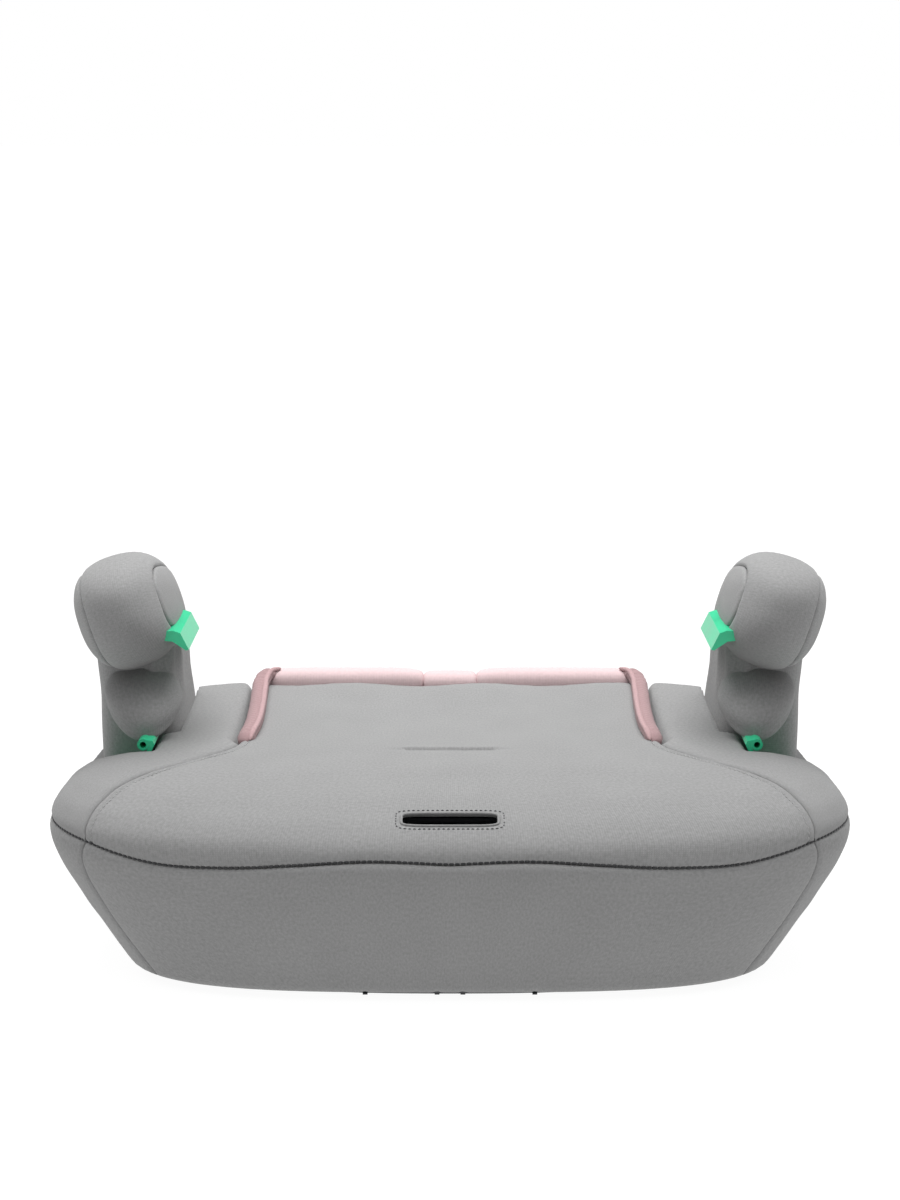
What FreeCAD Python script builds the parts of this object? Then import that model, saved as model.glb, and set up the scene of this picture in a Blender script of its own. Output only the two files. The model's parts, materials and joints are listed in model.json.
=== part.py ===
import FreeCAD, Part

import math
import os

# Backless booster seat, in millimetres.  +X is the seated child's left, -Y is the front, +Z is up.
# The origin is the middle of the box that holds the whole seat, on the surface that it stands on.
V = FreeCAD.Vector
X_AXIS = V(1, 0, 0)
Y_AXIS = V(0, 1, 0)
Z_AXIS = V(0, 0, 1)

# ---- Base: its plan at each height is a rounded oblong about the widest line ----
WIDEST_Y = -88.0
# height, half width, reach in front of the widest line, reach behind it
BASE_LEVELS = [
    (-10.0, 139.0, 92.0, 233.0),
    (2.0, 158.0, 96.0, 238.0),
    (14.0, 177.0, 100.0, 243.0),
    (31.0, 197.0, 106.0, 247.0),
    (47.0, 214.0, 110.5, 249.0),
    (62.0, 222.5, 112.0, 250.0),
    (78.0, 225.0, 110.5, 250.0),
    (90.0, 222.5, 101.0, 249.0),
    (99.0, 214.0, 80.0, 246.0),
    (105.0, 201.0, 54.0, 242.0),
    (108.0, 186.0, 30.0, 236.0),
]
BASE_TOP = 108.0
BASE_BOTTOM = 2.0
FRONT_SQUARENESS = 2.7
REAR_SQUARENESS = 10.0
REAR_TAPER = 0.065
PLAN_POLES = 64
FAR = 400.0

# ---- Layers of the base, each measured inwards from the outside of the fabric ----
COVER_THICKNESS = 2.5
FOAM_OUTER = 2.7
FOAM_INNER = 10.7
FOAM_REAR_INNER = 3.0
SHELL_OUTER = 11.0
SHELL_INNER = 14.0
SHELL_REAR_OUTER = 3.3
SHELL_REAR_INNER = 6.3
RIM_OUTER = 14.4
RIM_INNER = 17.0
SEAM_Z = 78.0
HEM_Z = 4.0
FOAM_BOTTOM_Z = 9.0
TRAY_TOP_Z = 5.0
RIM_TOP_Z = 16.0
SKIRT_CORNER_X = 150.0
SKIRT_END_Y = 128.0
FOAM_END_Y = 128.0

# ---- Shoulder for the armrest, and the belt valley in front of it ----
SHOULDER_Z = 82.0
SHOULDER_FRONT_Y = -50.0
SHOULDER_TOP_X = 165.0
VALLEY_TOP_X = 170.0
SHOULDER_FOOT_X = 184.0

# ---- Seams of the top cover, half of a symmetric outline ----
WING_SEAM = [(212.0, -160.0), (192.0, -136.0), (172.0, -106.0), (146.0, -74.0), (129.0, -36.0), (128.2, 0.0)]
BINDING_X = 128.2
BINDING_RADIUS = 4.0
BINDING_FRONT_Y = -17.0
BINDING_BEND_Y = 128.0
BINDING_END = (117.0, 147.0)
BINDING_Z = 107.5
BINDING_END_Z = 115.5

# ---- Rear bolster: three sewn sections ----
BOLSTER_HALF = 113.0
BOLSTER_FRONT_Y = 132.0
BOLSTER_REAR_Y = 155.0
BOLSTER_BOTTOM_Z = 99.5
BOLSTER_TOP_Z = 118.0
BOLSTER_MIDDLE_TOP_Z = 115.5
BOLSTER_SEAM_X = 18.0
BOLSTER_ROUND = 7.0
BOLSTER_END_ROUND = 3.0

# ---- Strap slot in the front slope, and the closed strap slit behind it ----
SLOT_Y = -170.0
SLOT_Z = 97.4
SLOT_SLOPE_DEG = 19.0
SLOT_LENGTH = 51.0
SLOT_WIDTH = 8.5
BEZEL_WALL = 3.0
BEZEL_DEPTH = 3.0
SLOT_DEPTH = 30.0
SLOT_BAR_RADIUS = 1.5
SLIT_Y = -53.0
SLIT_LENGTH = 50.0
SLIT_WIDTH = 0.8

# ---- Armrest ----
BAR_X = 193.0
BAR_Y = 38.0
BAR_Z = 174.0
BAR_HALF_WIDTH = 29.6
BAR_HALF_HEIGHT = 35.6
BAR_HALF_LENGTH = 101.0
BAR_LEAN_DEG = 13.0
BAR_RISE_DEG = 8.0
BAR_SQUARENESS = 2.5
BAR_PROFILE = 2.7
ARMREST_COVER = 2.2
ARMREST_FOAM_IN = 11.7
ARMREST_CORE = 12.0
ARMREST_CORE_WALL = 2.8
POST_X = 186.0
POST_Y = 64.0
POST_HALF_WIDTH = 20.5
POST_HALF_DEPTH = 63.0
POST_BASE_Z = 82.3
POST_TOP_Z = 166.0
POST_CORE = 2.5
POST_ROUND = 12.0
PLINTH_HALF_WIDTH = 12.0
PLINTH_HALF_DEPTH = 50.0
HORN_CENTRE = (181.0, -14.0, 132.0)
HORN_HALF = (24.0, 24.0, 20.0)
HORN_SQUARENESS = 2.4
BOLT_Y = (30.0, 98.0)
BOLT_RADIUS = 4.0
BOLT_HEAD_RADIUS = 7.0
SHELL_SCREW_SPOTS = ((20.0, 120.0), (105.0, 120.0), (62.0, 170.0))
SHELL_SCREW_RADIUS = 2.0

# ---- Belt guides ----
GUIDE_THICKNESS = 2.2
LOWER_GUIDE_FRONT_Y = -49.0
LOWER_GUIDE_REAR_Y = -1.0
LOWER_GUIDE_OUTER_X = 212.0
LOWER_GUIDE_LIP = (171.0, 110.6)
LOWER_GUIDE_RIM = (177.6, 110.6)
LOWER_GUIDE_RIM_RADIUS = 3.4
LOWER_GUIDE_RIM_WALL = 1.6
UPPER_GUIDE_FRONT_Y = -22.0
UPPER_GUIDE_REAR_Y = 50.0
UPPER_GUIDE_ROOT = (179.0, 168.0)
UPPER_GUIDE_BEND = (157.2, 171.2)
UPPER_GUIDE_TIP = (152.4, 161.4)

# ---- Latches that reach the car's two anchor bars, 280 mm apart ----
LATCH_X = 140.0
LATCH_Z = 40.0
ARM_WIDTH = 10.0
ARM_HEIGHT = 25.0
ARM_FRONT_Y = -90.0
ARM_REAR_Y = 199.0
CHEEK_GAP = 4.0
CHEEK_FRONT_Y = 135.0
ANCHOR_Y = 178.0
ANCHOR_Z = 36.0
THROAT_RADIUS = 3.3
JAW_THICKNESS = 3.4
JAW_PIVOT_Y = 162.0
JAW_PIVOT_Z = 47.0
JAW_PIN_RADIUS = 3.0
# The jaw's outline as (y, z): its body round the pivot, and the hook that closes the throat from above
JAW_OUTLINE = [(150, 41), (150, 55), (170, 58), (188, 52), (190, 44), (188, 30), (184, 30),
               (183.5, 41), (176, 43.5), (168, 41)]
HEAD_FRONT_Y = 100.0
HEAD_REAR_Y = 196.0
HEAD_WIDTH = 26.0
HEAD_BOTTOM_Z = 20.0
HEAD_TOP_Z = 66.0
HEAD_WALL = 2.5
OUTLET_GAP = 1.5
BUTTON_FRONT_Y = 118.0
BUTTON_REAR_Y = 140.0
BUTTON_TRAVEL = 8.0
BUTTON_HALF_WIDTH = 6.0
BUTTON_PROUD = 3.5
FLANGE_HALF_WIDTH = 9.0
FLANGE_THICKNESS = 3.0
SLOT_GAP = 0.5
ARM_GUIDE_FRONT_Y = 40.0
ARM_GUIDE_REAR_Y = 70.0
ARM_GUIDE_HALF_WIDTH = 12.0
ARM_GUIDE_WALL = 6.0
ARM_GUIDE_FOOT_WIDTH = 10.0
CROSSBAR_Y = -80.0
CROSSBAR_SIZE = 12.0
CROSSBAR_BELOW = 10.0
CROSSBAR_ABOVE = 8.0
CROSSBAR_WALL = 1.5
RACK_HALF_WIDTH = 8.0
RACK_REAR_Y = 46.0
RACK_PITCH = 8.0
RACK_TOOTH = 3.5
RACK_TOOTH_FOOT = 5.0
RACK_TOOTH_TIP = 3.5
RACK_BELOW = 6.0
RACK_ABOVE = 2.0
PAWL_TOOTH_Y = 36.0
PAWL_PIVOT_Y = 62.0
PAWL_PIVOT_Z = 60.0
PAWL_PIN_RADIUS = 2.5
PAWL_HALF_WIDTH = 6.0
PAWL_LIFTED_GAP = 0.8
PAWL_ROUND = 7.0
PAWL_DEPTH = 14.0
BRACKET_INNER_X = 8.0
BRACKET_WALL = 4.0
BRACKET_HALF_LENGTH = 8.0
BRACKET_TOP_Z = 91.0
BRACKET_BRIDGE = 3.0
GRIP_Y = -136.0
GRIP_HALF_LENGTH = 38.0
GRIP_HALF_DEPTH = 5.0
GRIP_BOTTOM_Z = 7.0
GRIP_TOP_Z = 19.0
GRIP_ROUND = 3.0
WEB_HALF_LENGTH = 14.0
WEB_HALF_DEPTH = 3.0
WEB_TOP_Z = 30.0
ROD_HALF_WIDTH = 5.0
ROD_THICKNESS = 3.0
ROD_TOP_Z = 70.0
RUNNING_GAP = 0.3
PIN_GAP = 0.05

# ---- Underside ----
FOOT_SPOTS = ((112.0, -130.0), (112.0, 112.0))
FOOT_RADIUS = 11.0
SCREW_SPOTS = ((104.0, -118.0), (104.0, 112.0), (58.0, 132.0))
SCREW_RADIUS = 2.0
SCREW_HEAD_RADIUS = 4.0
BOSS_RADIUS = 5.0
HEM_CLIP_X = (7.0, 46.0)
HEM_CLIP_HALF = 1.3
HEM_CLIP_FRONT_Y = -180.5
HEM_CLIP_REAR_Y = -172.0
RECESS_HALF_LENGTH = 44.0
RECESS_FRONT_Y = -162.0
RECESS_REAR_Y = -98.0
RECESS_ROUND = 8.0
RIB_X = (26.0, 78.0)
RIB_HALF_WIDTH = 1.2
RIB_FRONT_Y = -90.0
RIB_REAR_Y = 130.0
RIB_HEIGHT = 9.0


def save(name, shape):
    solids = len(shape.Solids)
    shape.exportStep("parts/" + name + ".step")
    print(f"{name:28s} solids {solids} volume {shape.Volume:11.0f} valid {shape.isValid()}")


def mirrored(shape):
    return shape.mirror(V(0, 0, 0), X_AXIS)


def save_pair(name, left_shape):
    save(name + "_left", left_shape)
    save(name + "_right", mirrored(left_shape))


def box(low, high):
    size = V(*high) - V(*low)
    return Part.makeBox(size.x, size.y, size.z, V(*low))


def both_sides(shape):
    return Part.makeCompound([shape, mirrored(shape)])


def closed_curve(points):
    curve = Part.BSplineCurve()
    curve.buildFromPoles(points, True, 3)
    return Part.Wire(curve.toShape())


def prism_xz(points, y_low, y_high):
    corners = [V(x, y_low, z) for x, z in points]
    face = Part.Face(Part.makePolygon(corners + corners[:1]))
    return face.extrude(V(0, y_high - y_low, 0))


def prism_yz(points, x_low, x_high):
    corners = [V(x_low, y, z) for y, z in points]
    face = Part.Face(Part.makePolygon(corners + corners[:1]))
    return face.extrude(V(x_high - x_low, 0, 0))


def runs_along(edge, axis):
    direction = (edge.Vertexes[1].Point - edge.Vertexes[0].Point).normalize()
    return abs(direction.dot(axis)) > 0.9


def biggest(shape):
    """The largest solid, where a cut leaves loose slivers beside it."""
    return max(shape.Solids, key=lambda solid: solid.Volume)


def rounded_box(low, high, radius, axis=None):
    """A box with its edges rounded: all of them, or only those along one axis."""
    shape = box(low, high)
    edges = shape.Edges
    if axis is not None:
        edges = [e for e in edges if runs_along(e, axis)]
    return shape.makeFillet(radius, edges)


def squircle_radius(angle, squareness):
    spread = abs(math.cos(angle)) ** squareness + abs(math.sin(angle)) ** squareness
    return spread ** (-1.0 / squareness)


def base_plan(z, half_width, front_reach, rear_reach):
    points = []
    for i in range(PLAN_POLES):
        angle = 2 * math.pi * i / PLAN_POLES
        behind = math.sin(angle) > 0
        radius = squircle_radius(angle, REAR_SQUARENESS if behind else FRONT_SQUARENESS)
        along = radius * math.sin(angle)
        taper = 1 - REAR_TAPER * along if behind else 1
        reach = rear_reach if behind else front_reach
        points.append(V(half_width * radius * math.cos(angle) * taper, WIDEST_Y + reach * along, z))
    return closed_curve(points)


def shoulder_cut(inset):
    """The space above the armrest's shoulder and the belt valley, on both sides."""
    valley_top = VALLEY_TOP_X - inset
    valley_foot = SHOULDER_FOOT_X - inset
    inner_top = SHOULDER_TOP_X - inset
    floor = SHOULDER_Z - inset
    above = BASE_TOP + 20
    points = [(valley_top, above), (valley_top, BASE_TOP), (valley_foot, floor), (FAR, floor), (FAR, above)]
    valley = prism_xz(points, SHOULDER_FRONT_Y - inset, POST_Y)
    beside_post = box((inner_top, POST_Y - POST_HALF_DEPTH - 0.5 - inset, floor), (FAR, FAR, above))
    return both_sides(valley.fuse(beside_post))


def base_solid(inset, rear_inset=None):
    """The solid inside the fabric's outside, at an inset, with its shoulders cut, running on below the floor."""
    rear_inset = inset if rear_inset is None else rear_inset
    sections = []
    for z, half_width, front_reach, rear_reach in BASE_LEVELS:
        lowered = z - inset * z / BASE_TOP
        sections.append(base_plan(lowered, half_width - inset, front_reach - inset, rear_reach - rear_inset))
    return Part.makeLoft(sections, True, False).cut(shoulder_cut(inset))


def slab(z_low, z_high):
    return box((-FAR, -FAR, z_low), (FAR, FAR, z_high))


def slot_placed(shape):
    turn = FreeCAD.Rotation(X_AXIS, SLOT_SLOPE_DEG)
    shape.Placement = FreeCAD.Placement(V(0, SLOT_Y, SLOT_Z), turn).multiply(shape.Placement)
    return shape


def slot_hole():
    hole = rounded_box((-SLOT_LENGTH / 2, -SLOT_WIDTH / 2, -SLOT_DEPTH),
                       (SLOT_LENGTH / 2, SLOT_WIDTH / 2, SLOT_DEPTH), 1.5, Z_AXIS)
    return slot_placed(hole)


def slot_bezel_block():
    half_length = SLOT_LENGTH / 2 + BEZEL_WALL
    half_width = SLOT_WIDTH / 2 + BEZEL_WALL
    top = -COVER_THICKNESS - 0.6
    block = rounded_box((-half_length, -half_width, top - BEZEL_DEPTH), (half_length, half_width, top),
                        2.5, Z_AXIS)
    return slot_placed(block)


def slot_bar():
    bar = Part.makeCylinder(SLOT_BAR_RADIUS, SLOT_LENGTH, V(-SLOT_LENGTH / 2, 0, 0), X_AXIS)
    bar.translate(V(0, -SLOT_WIDTH / 2 + SLOT_BAR_RADIUS, -COVER_THICKNESS - 0.6 - BEZEL_DEPTH / 2))
    return slot_placed(bar)


def centre_panel_prism():
    """Everything between the two curved wing seams, as an upright block."""
    seam = [V(x, y, SEAM_Z) for x, y in WING_SEAM]
    curve = Part.BSplineCurve()
    curve.interpolate(seam)
    rear_left = V(WING_SEAM[-1][0], FAR, SEAM_Z)
    rear_right = V(-WING_SEAM[-1][0], FAR, SEAM_Z)
    front_left = V(WING_SEAM[0][0], -FAR, SEAM_Z)
    front_right = V(-WING_SEAM[0][0], -FAR, SEAM_Z)
    left = curve.toShape()
    edges = [
        Part.makeLine(front_left, seam[0]),
        left,
        Part.makeLine(seam[-1], rear_left),
        Part.makeLine(rear_left, rear_right),
        Part.makeLine(rear_right, V(-seam[-1].x, seam[-1].y, SEAM_Z)),
        mirrored(left),
        Part.makeLine(V(-seam[0].x, seam[0].y, SEAM_Z), front_right),
        Part.makeLine(front_right, front_left),
    ]
    wire = Part.Wire(Part.__sortEdges__(edges))
    block = Part.Face(wire).extrude(V(0, 0, FAR))
    block.translate(V(0, 0, -10))
    return block


def binding():
    """The pink piping along the hip, with its end turned up over the bolster's corner."""
    start = V(BINDING_X, BINDING_FRONT_Y, BINDING_Z)
    bend = V(BINDING_X, BINDING_BEND_Y, BINDING_Z)
    end = V(BINDING_END[0], BINDING_END[1], BINDING_END_Z)
    middle = V(BINDING_X - 2.6, (BINDING_BEND_Y + BINDING_END[1]) / 2 + 1.5, BINDING_Z + 2.2)
    path = Part.Wire([Part.makeLine(start, bend), Part.Arc(bend, middle, end).toShape()])
    circle = Part.Wire(Part.makeCircle(BINDING_RADIUS, start, Y_AXIS))
    pipe = path.makePipeShell([circle], True, False)
    nose = Part.makeSphere(BINDING_RADIUS, start)
    return pipe.fuse(nose).removeSplitter()


def bolster_section(x_low, x_high, top, inset):
    low = (x_low, BOLSTER_FRONT_Y + inset, BOLSTER_BOTTOM_Z + inset)
    high = (x_high, BOLSTER_REAR_Y - inset, top - inset)
    block = rounded_box(low, high, BOLSTER_ROUND - inset, X_AXIS)
    ends = [e for e in block.Edges if e.BoundBox.XLength < 0.01]
    return block.makeFillet(BOLSTER_END_ROUND - inset / 2, ends)


def bolster(inset):
    overlap = 1.0
    seam_in = BOLSTER_SEAM_X - overlap
    seam_out = BOLSTER_SEAM_X + overlap
    middle = bolster_section(-seam_out, seam_out, BOLSTER_MIDDLE_TOP_Z, inset)
    left = bolster_section(seam_in, BOLSTER_HALF - inset, BOLSTER_TOP_Z, inset)
    return middle.fuse([left, mirrored(left)])


def bolster_pocket():
    half = BOLSTER_HALF + 0.2
    return box((-half, BOLSTER_FRONT_Y - 0.2, BOLSTER_BOTTOM_Z - 0.2), (half, FAR, FAR))


def squircle_solid(centre, half_sizes, squareness, profile, levels=13):
    """A soft lump: squircle sections stacked along Z, drawn in towards both ends."""
    sections = []
    for i in range(levels):
        height = -math.cos(math.pi * (i + 0.35) / (levels - 0.3))
        scale = (1 - abs(height) ** profile) ** (1 / profile)
        points = []
        for j in range(24):
            angle = 2 * math.pi * j / 24
            radius = scale * squircle_radius(angle, squareness)
            points.append(V(half_sizes[0] * radius * math.cos(angle), half_sizes[1] * radius * math.sin(angle),
                            half_sizes[2] * height))
        sections.append(closed_curve(points))
    shape = Part.makeLoft(sections, True, False)
    shape.translate(V(*centre))
    return shape


def armrest_bar(inset):
    half_sizes = (BAR_HALF_WIDTH - inset, BAR_HALF_HEIGHT - inset, BAR_HALF_LENGTH - inset)
    lump = squircle_solid((0, 0, 0), half_sizes, BAR_SQUARENESS, BAR_PROFILE)
    lump.rotate(V(0, 0, 0), X_AXIS, 90)
    lump.rotate(V(0, 0, 0), Y_AXIS, BAR_LEAN_DEG)
    lump.rotate(V(0, 0, 0), X_AXIS, -BAR_RISE_DEG)
    lump.translate(V(BAR_X, BAR_Y, BAR_Z))
    return lump


def armrest_post(inset, bottom, top=POST_TOP_Z):
    low = (POST_X - POST_HALF_WIDTH + inset, POST_Y - POST_HALF_DEPTH + inset, bottom)
    high = (POST_X + POST_HALF_WIDTH - inset, POST_Y + POST_HALF_DEPTH - inset, top)
    return rounded_box(low, high, POST_ROUND - inset, Z_AXIS)


def armrest_plinth(grow):
    """The foot that goes down through the fabric and the foam to the seat shell."""
    low = (POST_X - PLINTH_HALF_WIDTH - grow, POST_Y - PLINTH_HALF_DEPTH - grow, SHOULDER_Z - SHELL_OUTER)
    high = (POST_X + PLINTH_HALF_WIDTH + grow, POST_Y + PLINTH_HALF_DEPTH + grow, POST_BASE_Z)
    return box(low, high)


def armrest_core(inset):
    upright = armrest_post(POST_CORE + inset, POST_BASE_Z + inset)
    return armrest_bar(ARMREST_CORE + inset).fuse(upright).removeSplitter()


def armrest_screw(y, z):
    shank = Part.makeCylinder(SHELL_SCREW_RADIUS, 24, V(POST_X - 12, y, z), X_AXIS)
    head = Part.makeCylinder(2 * SHELL_SCREW_RADIUS, 2.5, V(POST_X + 12, y, z), X_AXIS)
    return shank.fuse(head)


def screw_boss(y, z):
    half = POST_HALF_WIDTH - POST_CORE - 1
    if z > BAR_Z - 15:
        half = 14.0
    return Part.makeCylinder(5.0, 2 * half, V(POST_X - half, y, z), X_AXIS)


def armrest_bolt(y):
    """A bolt up through the seat shell and the plinth, with its head under the shell."""
    underside = SHOULDER_Z - SHELL_INNER
    shank = Part.makeCylinder(BOLT_RADIUS, 26, V(POST_X, y, underside), Z_AXIS)
    head = Part.makeCylinder(BOLT_HEAD_RADIUS, 5, V(POST_X, y, underside - 5), Z_AXIS)
    return shank.fuse(head)


def upper_guide():
    """The fin under the inner edge of the armrest, with a lip turned down to keep the shoulder belt low."""
    root_x, root_z = UPPER_GUIDE_ROOT
    bend_x, bend_z = UPPER_GUIDE_BEND
    tip_x, tip_z = UPPER_GUIDE_TIP
    wall = GUIDE_THICKNESS
    points = [(root_x, root_z + 2 * wall), (bend_x + 4, bend_z + 1.4), (bend_x, bend_z), (tip_x, tip_z),
              (tip_x + 1.8, tip_z - 0.4), (bend_x + 4.6, bend_z - 5), (root_x, root_z)]
    return prism_xz(points, UPPER_GUIDE_FRONT_Y, UPPER_GUIDE_REAR_Y)


def lower_guide():
    """The lining of the belt valley: a floor, a sloped wall and a rolled rim."""
    wall = GUIDE_THICKNESS
    lip_x, lip_z = LOWER_GUIDE_LIP
    rim_x, rim_z = LOWER_GUIDE_RIM
    floor = SHOULDER_Z + 0.2
    foot_x = SHOULDER_FOOT_X + 0.5
    points = [(LOWER_GUIDE_OUTER_X, floor), (foot_x, floor), (lip_x, lip_z), (lip_x + 1, lip_z + wall),
              (rim_x - 1, rim_z + 3), (rim_x - 1, rim_z), (lip_x + wall + 1, lip_z - 1),
              (foot_x + wall, floor + wall), (LOWER_GUIDE_OUTER_X, floor + wall)]
    lining = prism_xz(points, LOWER_GUIDE_FRONT_Y, LOWER_GUIDE_REAR_Y)
    length = LOWER_GUIDE_REAR_Y - LOWER_GUIDE_FRONT_Y
    start = V(rim_x, LOWER_GUIDE_FRONT_Y, rim_z)
    rim = Part.makeCylinder(LOWER_GUIDE_RIM_RADIUS, length, start, Y_AXIS)
    hollow = Part.makeCylinder(LOWER_GUIDE_RIM_RADIUS - LOWER_GUIDE_RIM_WALL, length, start, Y_AXIS)
    return lining.fuse(rim).cut(hollow).removeSplitter()


def build_armrest():
    top_guide = upper_guide()
    core_outer = armrest_core(0).fuse(armrest_plinth(0))
    bosses = [screw_boss(y, z) for y, z in SHELL_SCREW_SPOTS]
    screws = Part.makeCompound([armrest_screw(y, z) for y, z in SHELL_SCREW_SPOTS])
    bolts = Part.makeCompound([armrest_bolt(y) for y in BOLT_Y])
    walls = core_outer.cut(armrest_core(ARMREST_CORE_WALL))
    core = walls.fuse(bosses).common(core_outer).cut(Part.makeCompound([screws, bolts, top_guide]))
    inner_half = box((0, -FAR, -FAR), (POST_X, FAR, FAR))
    outer_half = box((POST_X, -FAR, -FAR), (FAR, FAR, FAR))
    bar_outer = armrest_bar(0)
    post_core = armrest_post(POST_CORE, POST_BASE_Z - 20)
    bar_cover = bar_outer.cut([armrest_bar(ARMREST_COVER), post_core, top_guide])
    bar_core = armrest_bar(ARMREST_FOAM_IN)
    bar_foam = armrest_bar(ARMREST_COVER + 0.2).cut([bar_core, post_core, top_guide, screws])
    post_cover = armrest_post(0, POST_BASE_Z).cut([armrest_post(POST_CORE - 0.2, 0), armrest_bar(-0.2)])
    horn = squircle_solid(HORN_CENTRE, HORN_HALF, HORN_SQUARENESS, HORN_SQUARENESS)
    rim_top = LOWER_GUIDE_RIM[1] + LOWER_GUIDE_RIM_RADIUS + RUNNING_GAP
    clear_of = [armrest_bar(-0.2), armrest_post(-0.2, 0), slab(0, rim_top)]
    horn_cover = horn.cut(clear_of)
    save_pair("armrest_inner_shell", biggest(core.common(inner_half)))
    save_pair("armrest_outer_shell", biggest(core.common(outer_half)))
    save_pair("armrest_shell_screws", screws)
    save_pair("armrest_bolts", bolts)
    save_pair("armrest_bar_foam", biggest(bar_foam))
    save_pair("armrest_bar_cover", biggest(bar_cover))
    save_pair("armrest_post_cover", biggest(post_cover))
    save_pair("armrest_horn_pad", biggest(horn_cover))
    save_pair("upper_belt_guide", top_guide)
    save_pair("lower_belt_guide", lower_guide())


def outlet_cut():
    """The two openings in the rear wall that the latch heads slide through."""
    half = HEAD_WIDTH / 2 + OUTLET_GAP
    low = (LATCH_X - half, 100.0, HEAD_BOTTOM_Z - OUTLET_GAP)
    high = (LATCH_X + half, FAR, HEAD_TOP_Z + 4 + OUTLET_GAP)
    return both_sides(box(low, high))


def build_cover():
    outer = base_solid(0)
    inner = base_solid(COVER_THICKNESS)
    skin = outer.cut(inner).common(slab(HEM_Z, FAR))
    skin = skin.cut([outlet_cut(), both_sides(armrest_plinth(0.2)), bolster_pocket(), slot_hole()])
    top = skin.common(slab(SEAM_Z, FAR))
    skirt = skin.common(slab(0, SEAM_Z))
    prism = centre_panel_prism()
    piping = both_sides(binding())
    slit = box((-SLIT_LENGTH / 2, SLIT_Y - SLIT_WIDTH / 2, BASE_TOP - 10),
               (SLIT_LENGTH / 2, SLIT_Y + SLIT_WIDTH / 2, FAR))
    guides = both_sides(lower_guide())
    centre = top.common(prism).cut([piping, slit])
    wings = top.cut([prism, piping, guides])
    save("cover_top_panel", biggest(centre))
    save_pair("cover_wing", biggest(wings.common(box((0, -FAR, 0), (FAR, FAR, FAR)))))
    corner = WING_SEAM[1][1]
    front = skirt.common(box((-FAR, -FAR, 0), (FAR, corner, FAR)))
    notches = [box((x - 1.5, -FAR, 0), (x + 1.5, 0, HEM_Z + 3)) for clip in HEM_CLIP_X for x in (-clip, clip)]
    save("cover_front_skirt", biggest(front.cut(notches)))
    side = box((0, corner, 0), (FAR, SKIRT_END_Y, FAR))
    rear_wrap = box((SKIRT_CORNER_X, SKIRT_END_Y - 1, 0), (FAR, FAR, FAR))
    save_pair("cover_side_skirt", biggest(skirt.common(side.fuse(rear_wrap))))
    save_pair("edge_binding", binding())


def build_bolster():
    piping = both_sides(binding())
    outer = bolster(0).cut(piping)
    save("rear_bolster_cover", outer.cut(bolster(2.0)))
    save("rear_bolster_foam", bolster(2.2).cut(piping))


def build_foam():
    layer = base_solid(FOAM_OUTER).cut(base_solid(FOAM_INNER, FOAM_REAR_INNER))
    layer = layer.common(slab(FOAM_BOTTOM_Z, FAR)).common(box((-FAR, -FAR, 0), (FAR, FOAM_END_Y, FAR)))
    layer = layer.cut([both_sides(armrest_plinth(0.2)), both_sides(binding())])
    layer = layer.cut([slot_bezel_block(), slot_hole(), bolster_pocket()])
    top = layer.common(slab(SEAM_Z, FAR))
    prism = centre_panel_prism()
    save("seat_foam", biggest(top.common(prism)))
    save_pair("wing_foam", biggest(top.cut(prism).common(box((0, -FAR, 0), (FAR, FAR, FAR)))))
    save("skirt_foam", biggest(layer.common(slab(0, SEAM_Z))))


def build_shell_and_tray():
    shell = base_solid(SHELL_OUTER, SHELL_REAR_OUTER).cut(base_solid(SHELL_INNER, SHELL_REAR_INNER))
    shell = shell.common(slab(TRAY_TOP_Z, FAR))
    bosses = []
    pilots = []
    for x, y in SCREW_SPOTS:
        for side in (-1, 1):
            height = BASE_TOP - SHELL_INNER + 1 - TRAY_TOP_Z
            bosses.append(Part.makeCylinder(BOSS_RADIUS, height, V(side * x, y, TRAY_TOP_Z), Z_AXIS))
            pilots.append(base_screw(side * x, y))
    bolts = both_sides(Part.makeCompound([armrest_bolt(y) for y in BOLT_Y]))
    cuts = [outlet_cut(), bolts, bolster_pocket(), slot_bezel_block(), slot_hole()] + pilots
    save("seat_shell", biggest(shell.fuse(bosses).cut(cuts)))
    plate = base_solid(COVER_THICKNESS + 0.4).common(slab(BASE_BOTTOM, TRAY_TOP_Z))
    rim = base_solid(RIM_OUTER, SHELL_REAR_INNER + 0.4).cut(base_solid(RIM_INNER, SHELL_REAR_INNER + 3))
    rim = rim.common(slab(TRAY_TOP_Z, RIM_TOP_Z))
    recess = rounded_box((-RECESS_HALF_LENGTH, RECESS_FRONT_Y, 0), (RECESS_HALF_LENGTH, RECESS_REAR_Y, 60),
                         RECESS_ROUND, Z_AXIS)
    ribs = [both_sides(box((x - RIB_HALF_WIDTH, RIB_FRONT_Y, TRAY_TOP_Z),
                           (x + RIB_HALF_WIDTH, RIB_REAR_Y, TRAY_TOP_Z + RIB_HEIGHT))) for x in RIB_X]
    tray = plate.fuse([rim] + ribs).cut([recess, outlet_cut()] + pilots)
    save("lower_tray", biggest(tray))
    save("base_screws", Part.makeCompound(pilots))
    feet = []
    for x, y in FOOT_SPOTS:
        for side in (-1, 1):
            pad = Part.makeCylinder(FOOT_RADIUS, BASE_BOTTOM, V(side * x, y, 0), Z_AXIS)
            feet.append(pad.makeFillet(0.8, [e for e in pad.Edges if e.BoundBox.ZMax < 0.01]))
    save("rubber_feet", Part.makeCompound(feet))
    clips = []
    for clip in HEM_CLIP_X:
        for x in (-clip, clip):
            clips.append(box((x - HEM_CLIP_HALF, HEM_CLIP_FRONT_Y, BASE_BOTTOM - 0.8),
                             (x + HEM_CLIP_HALF, HEM_CLIP_REAR_Y, BASE_BOTTOM)))
    save("hem_clips", Part.makeCompound(clips))


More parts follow.
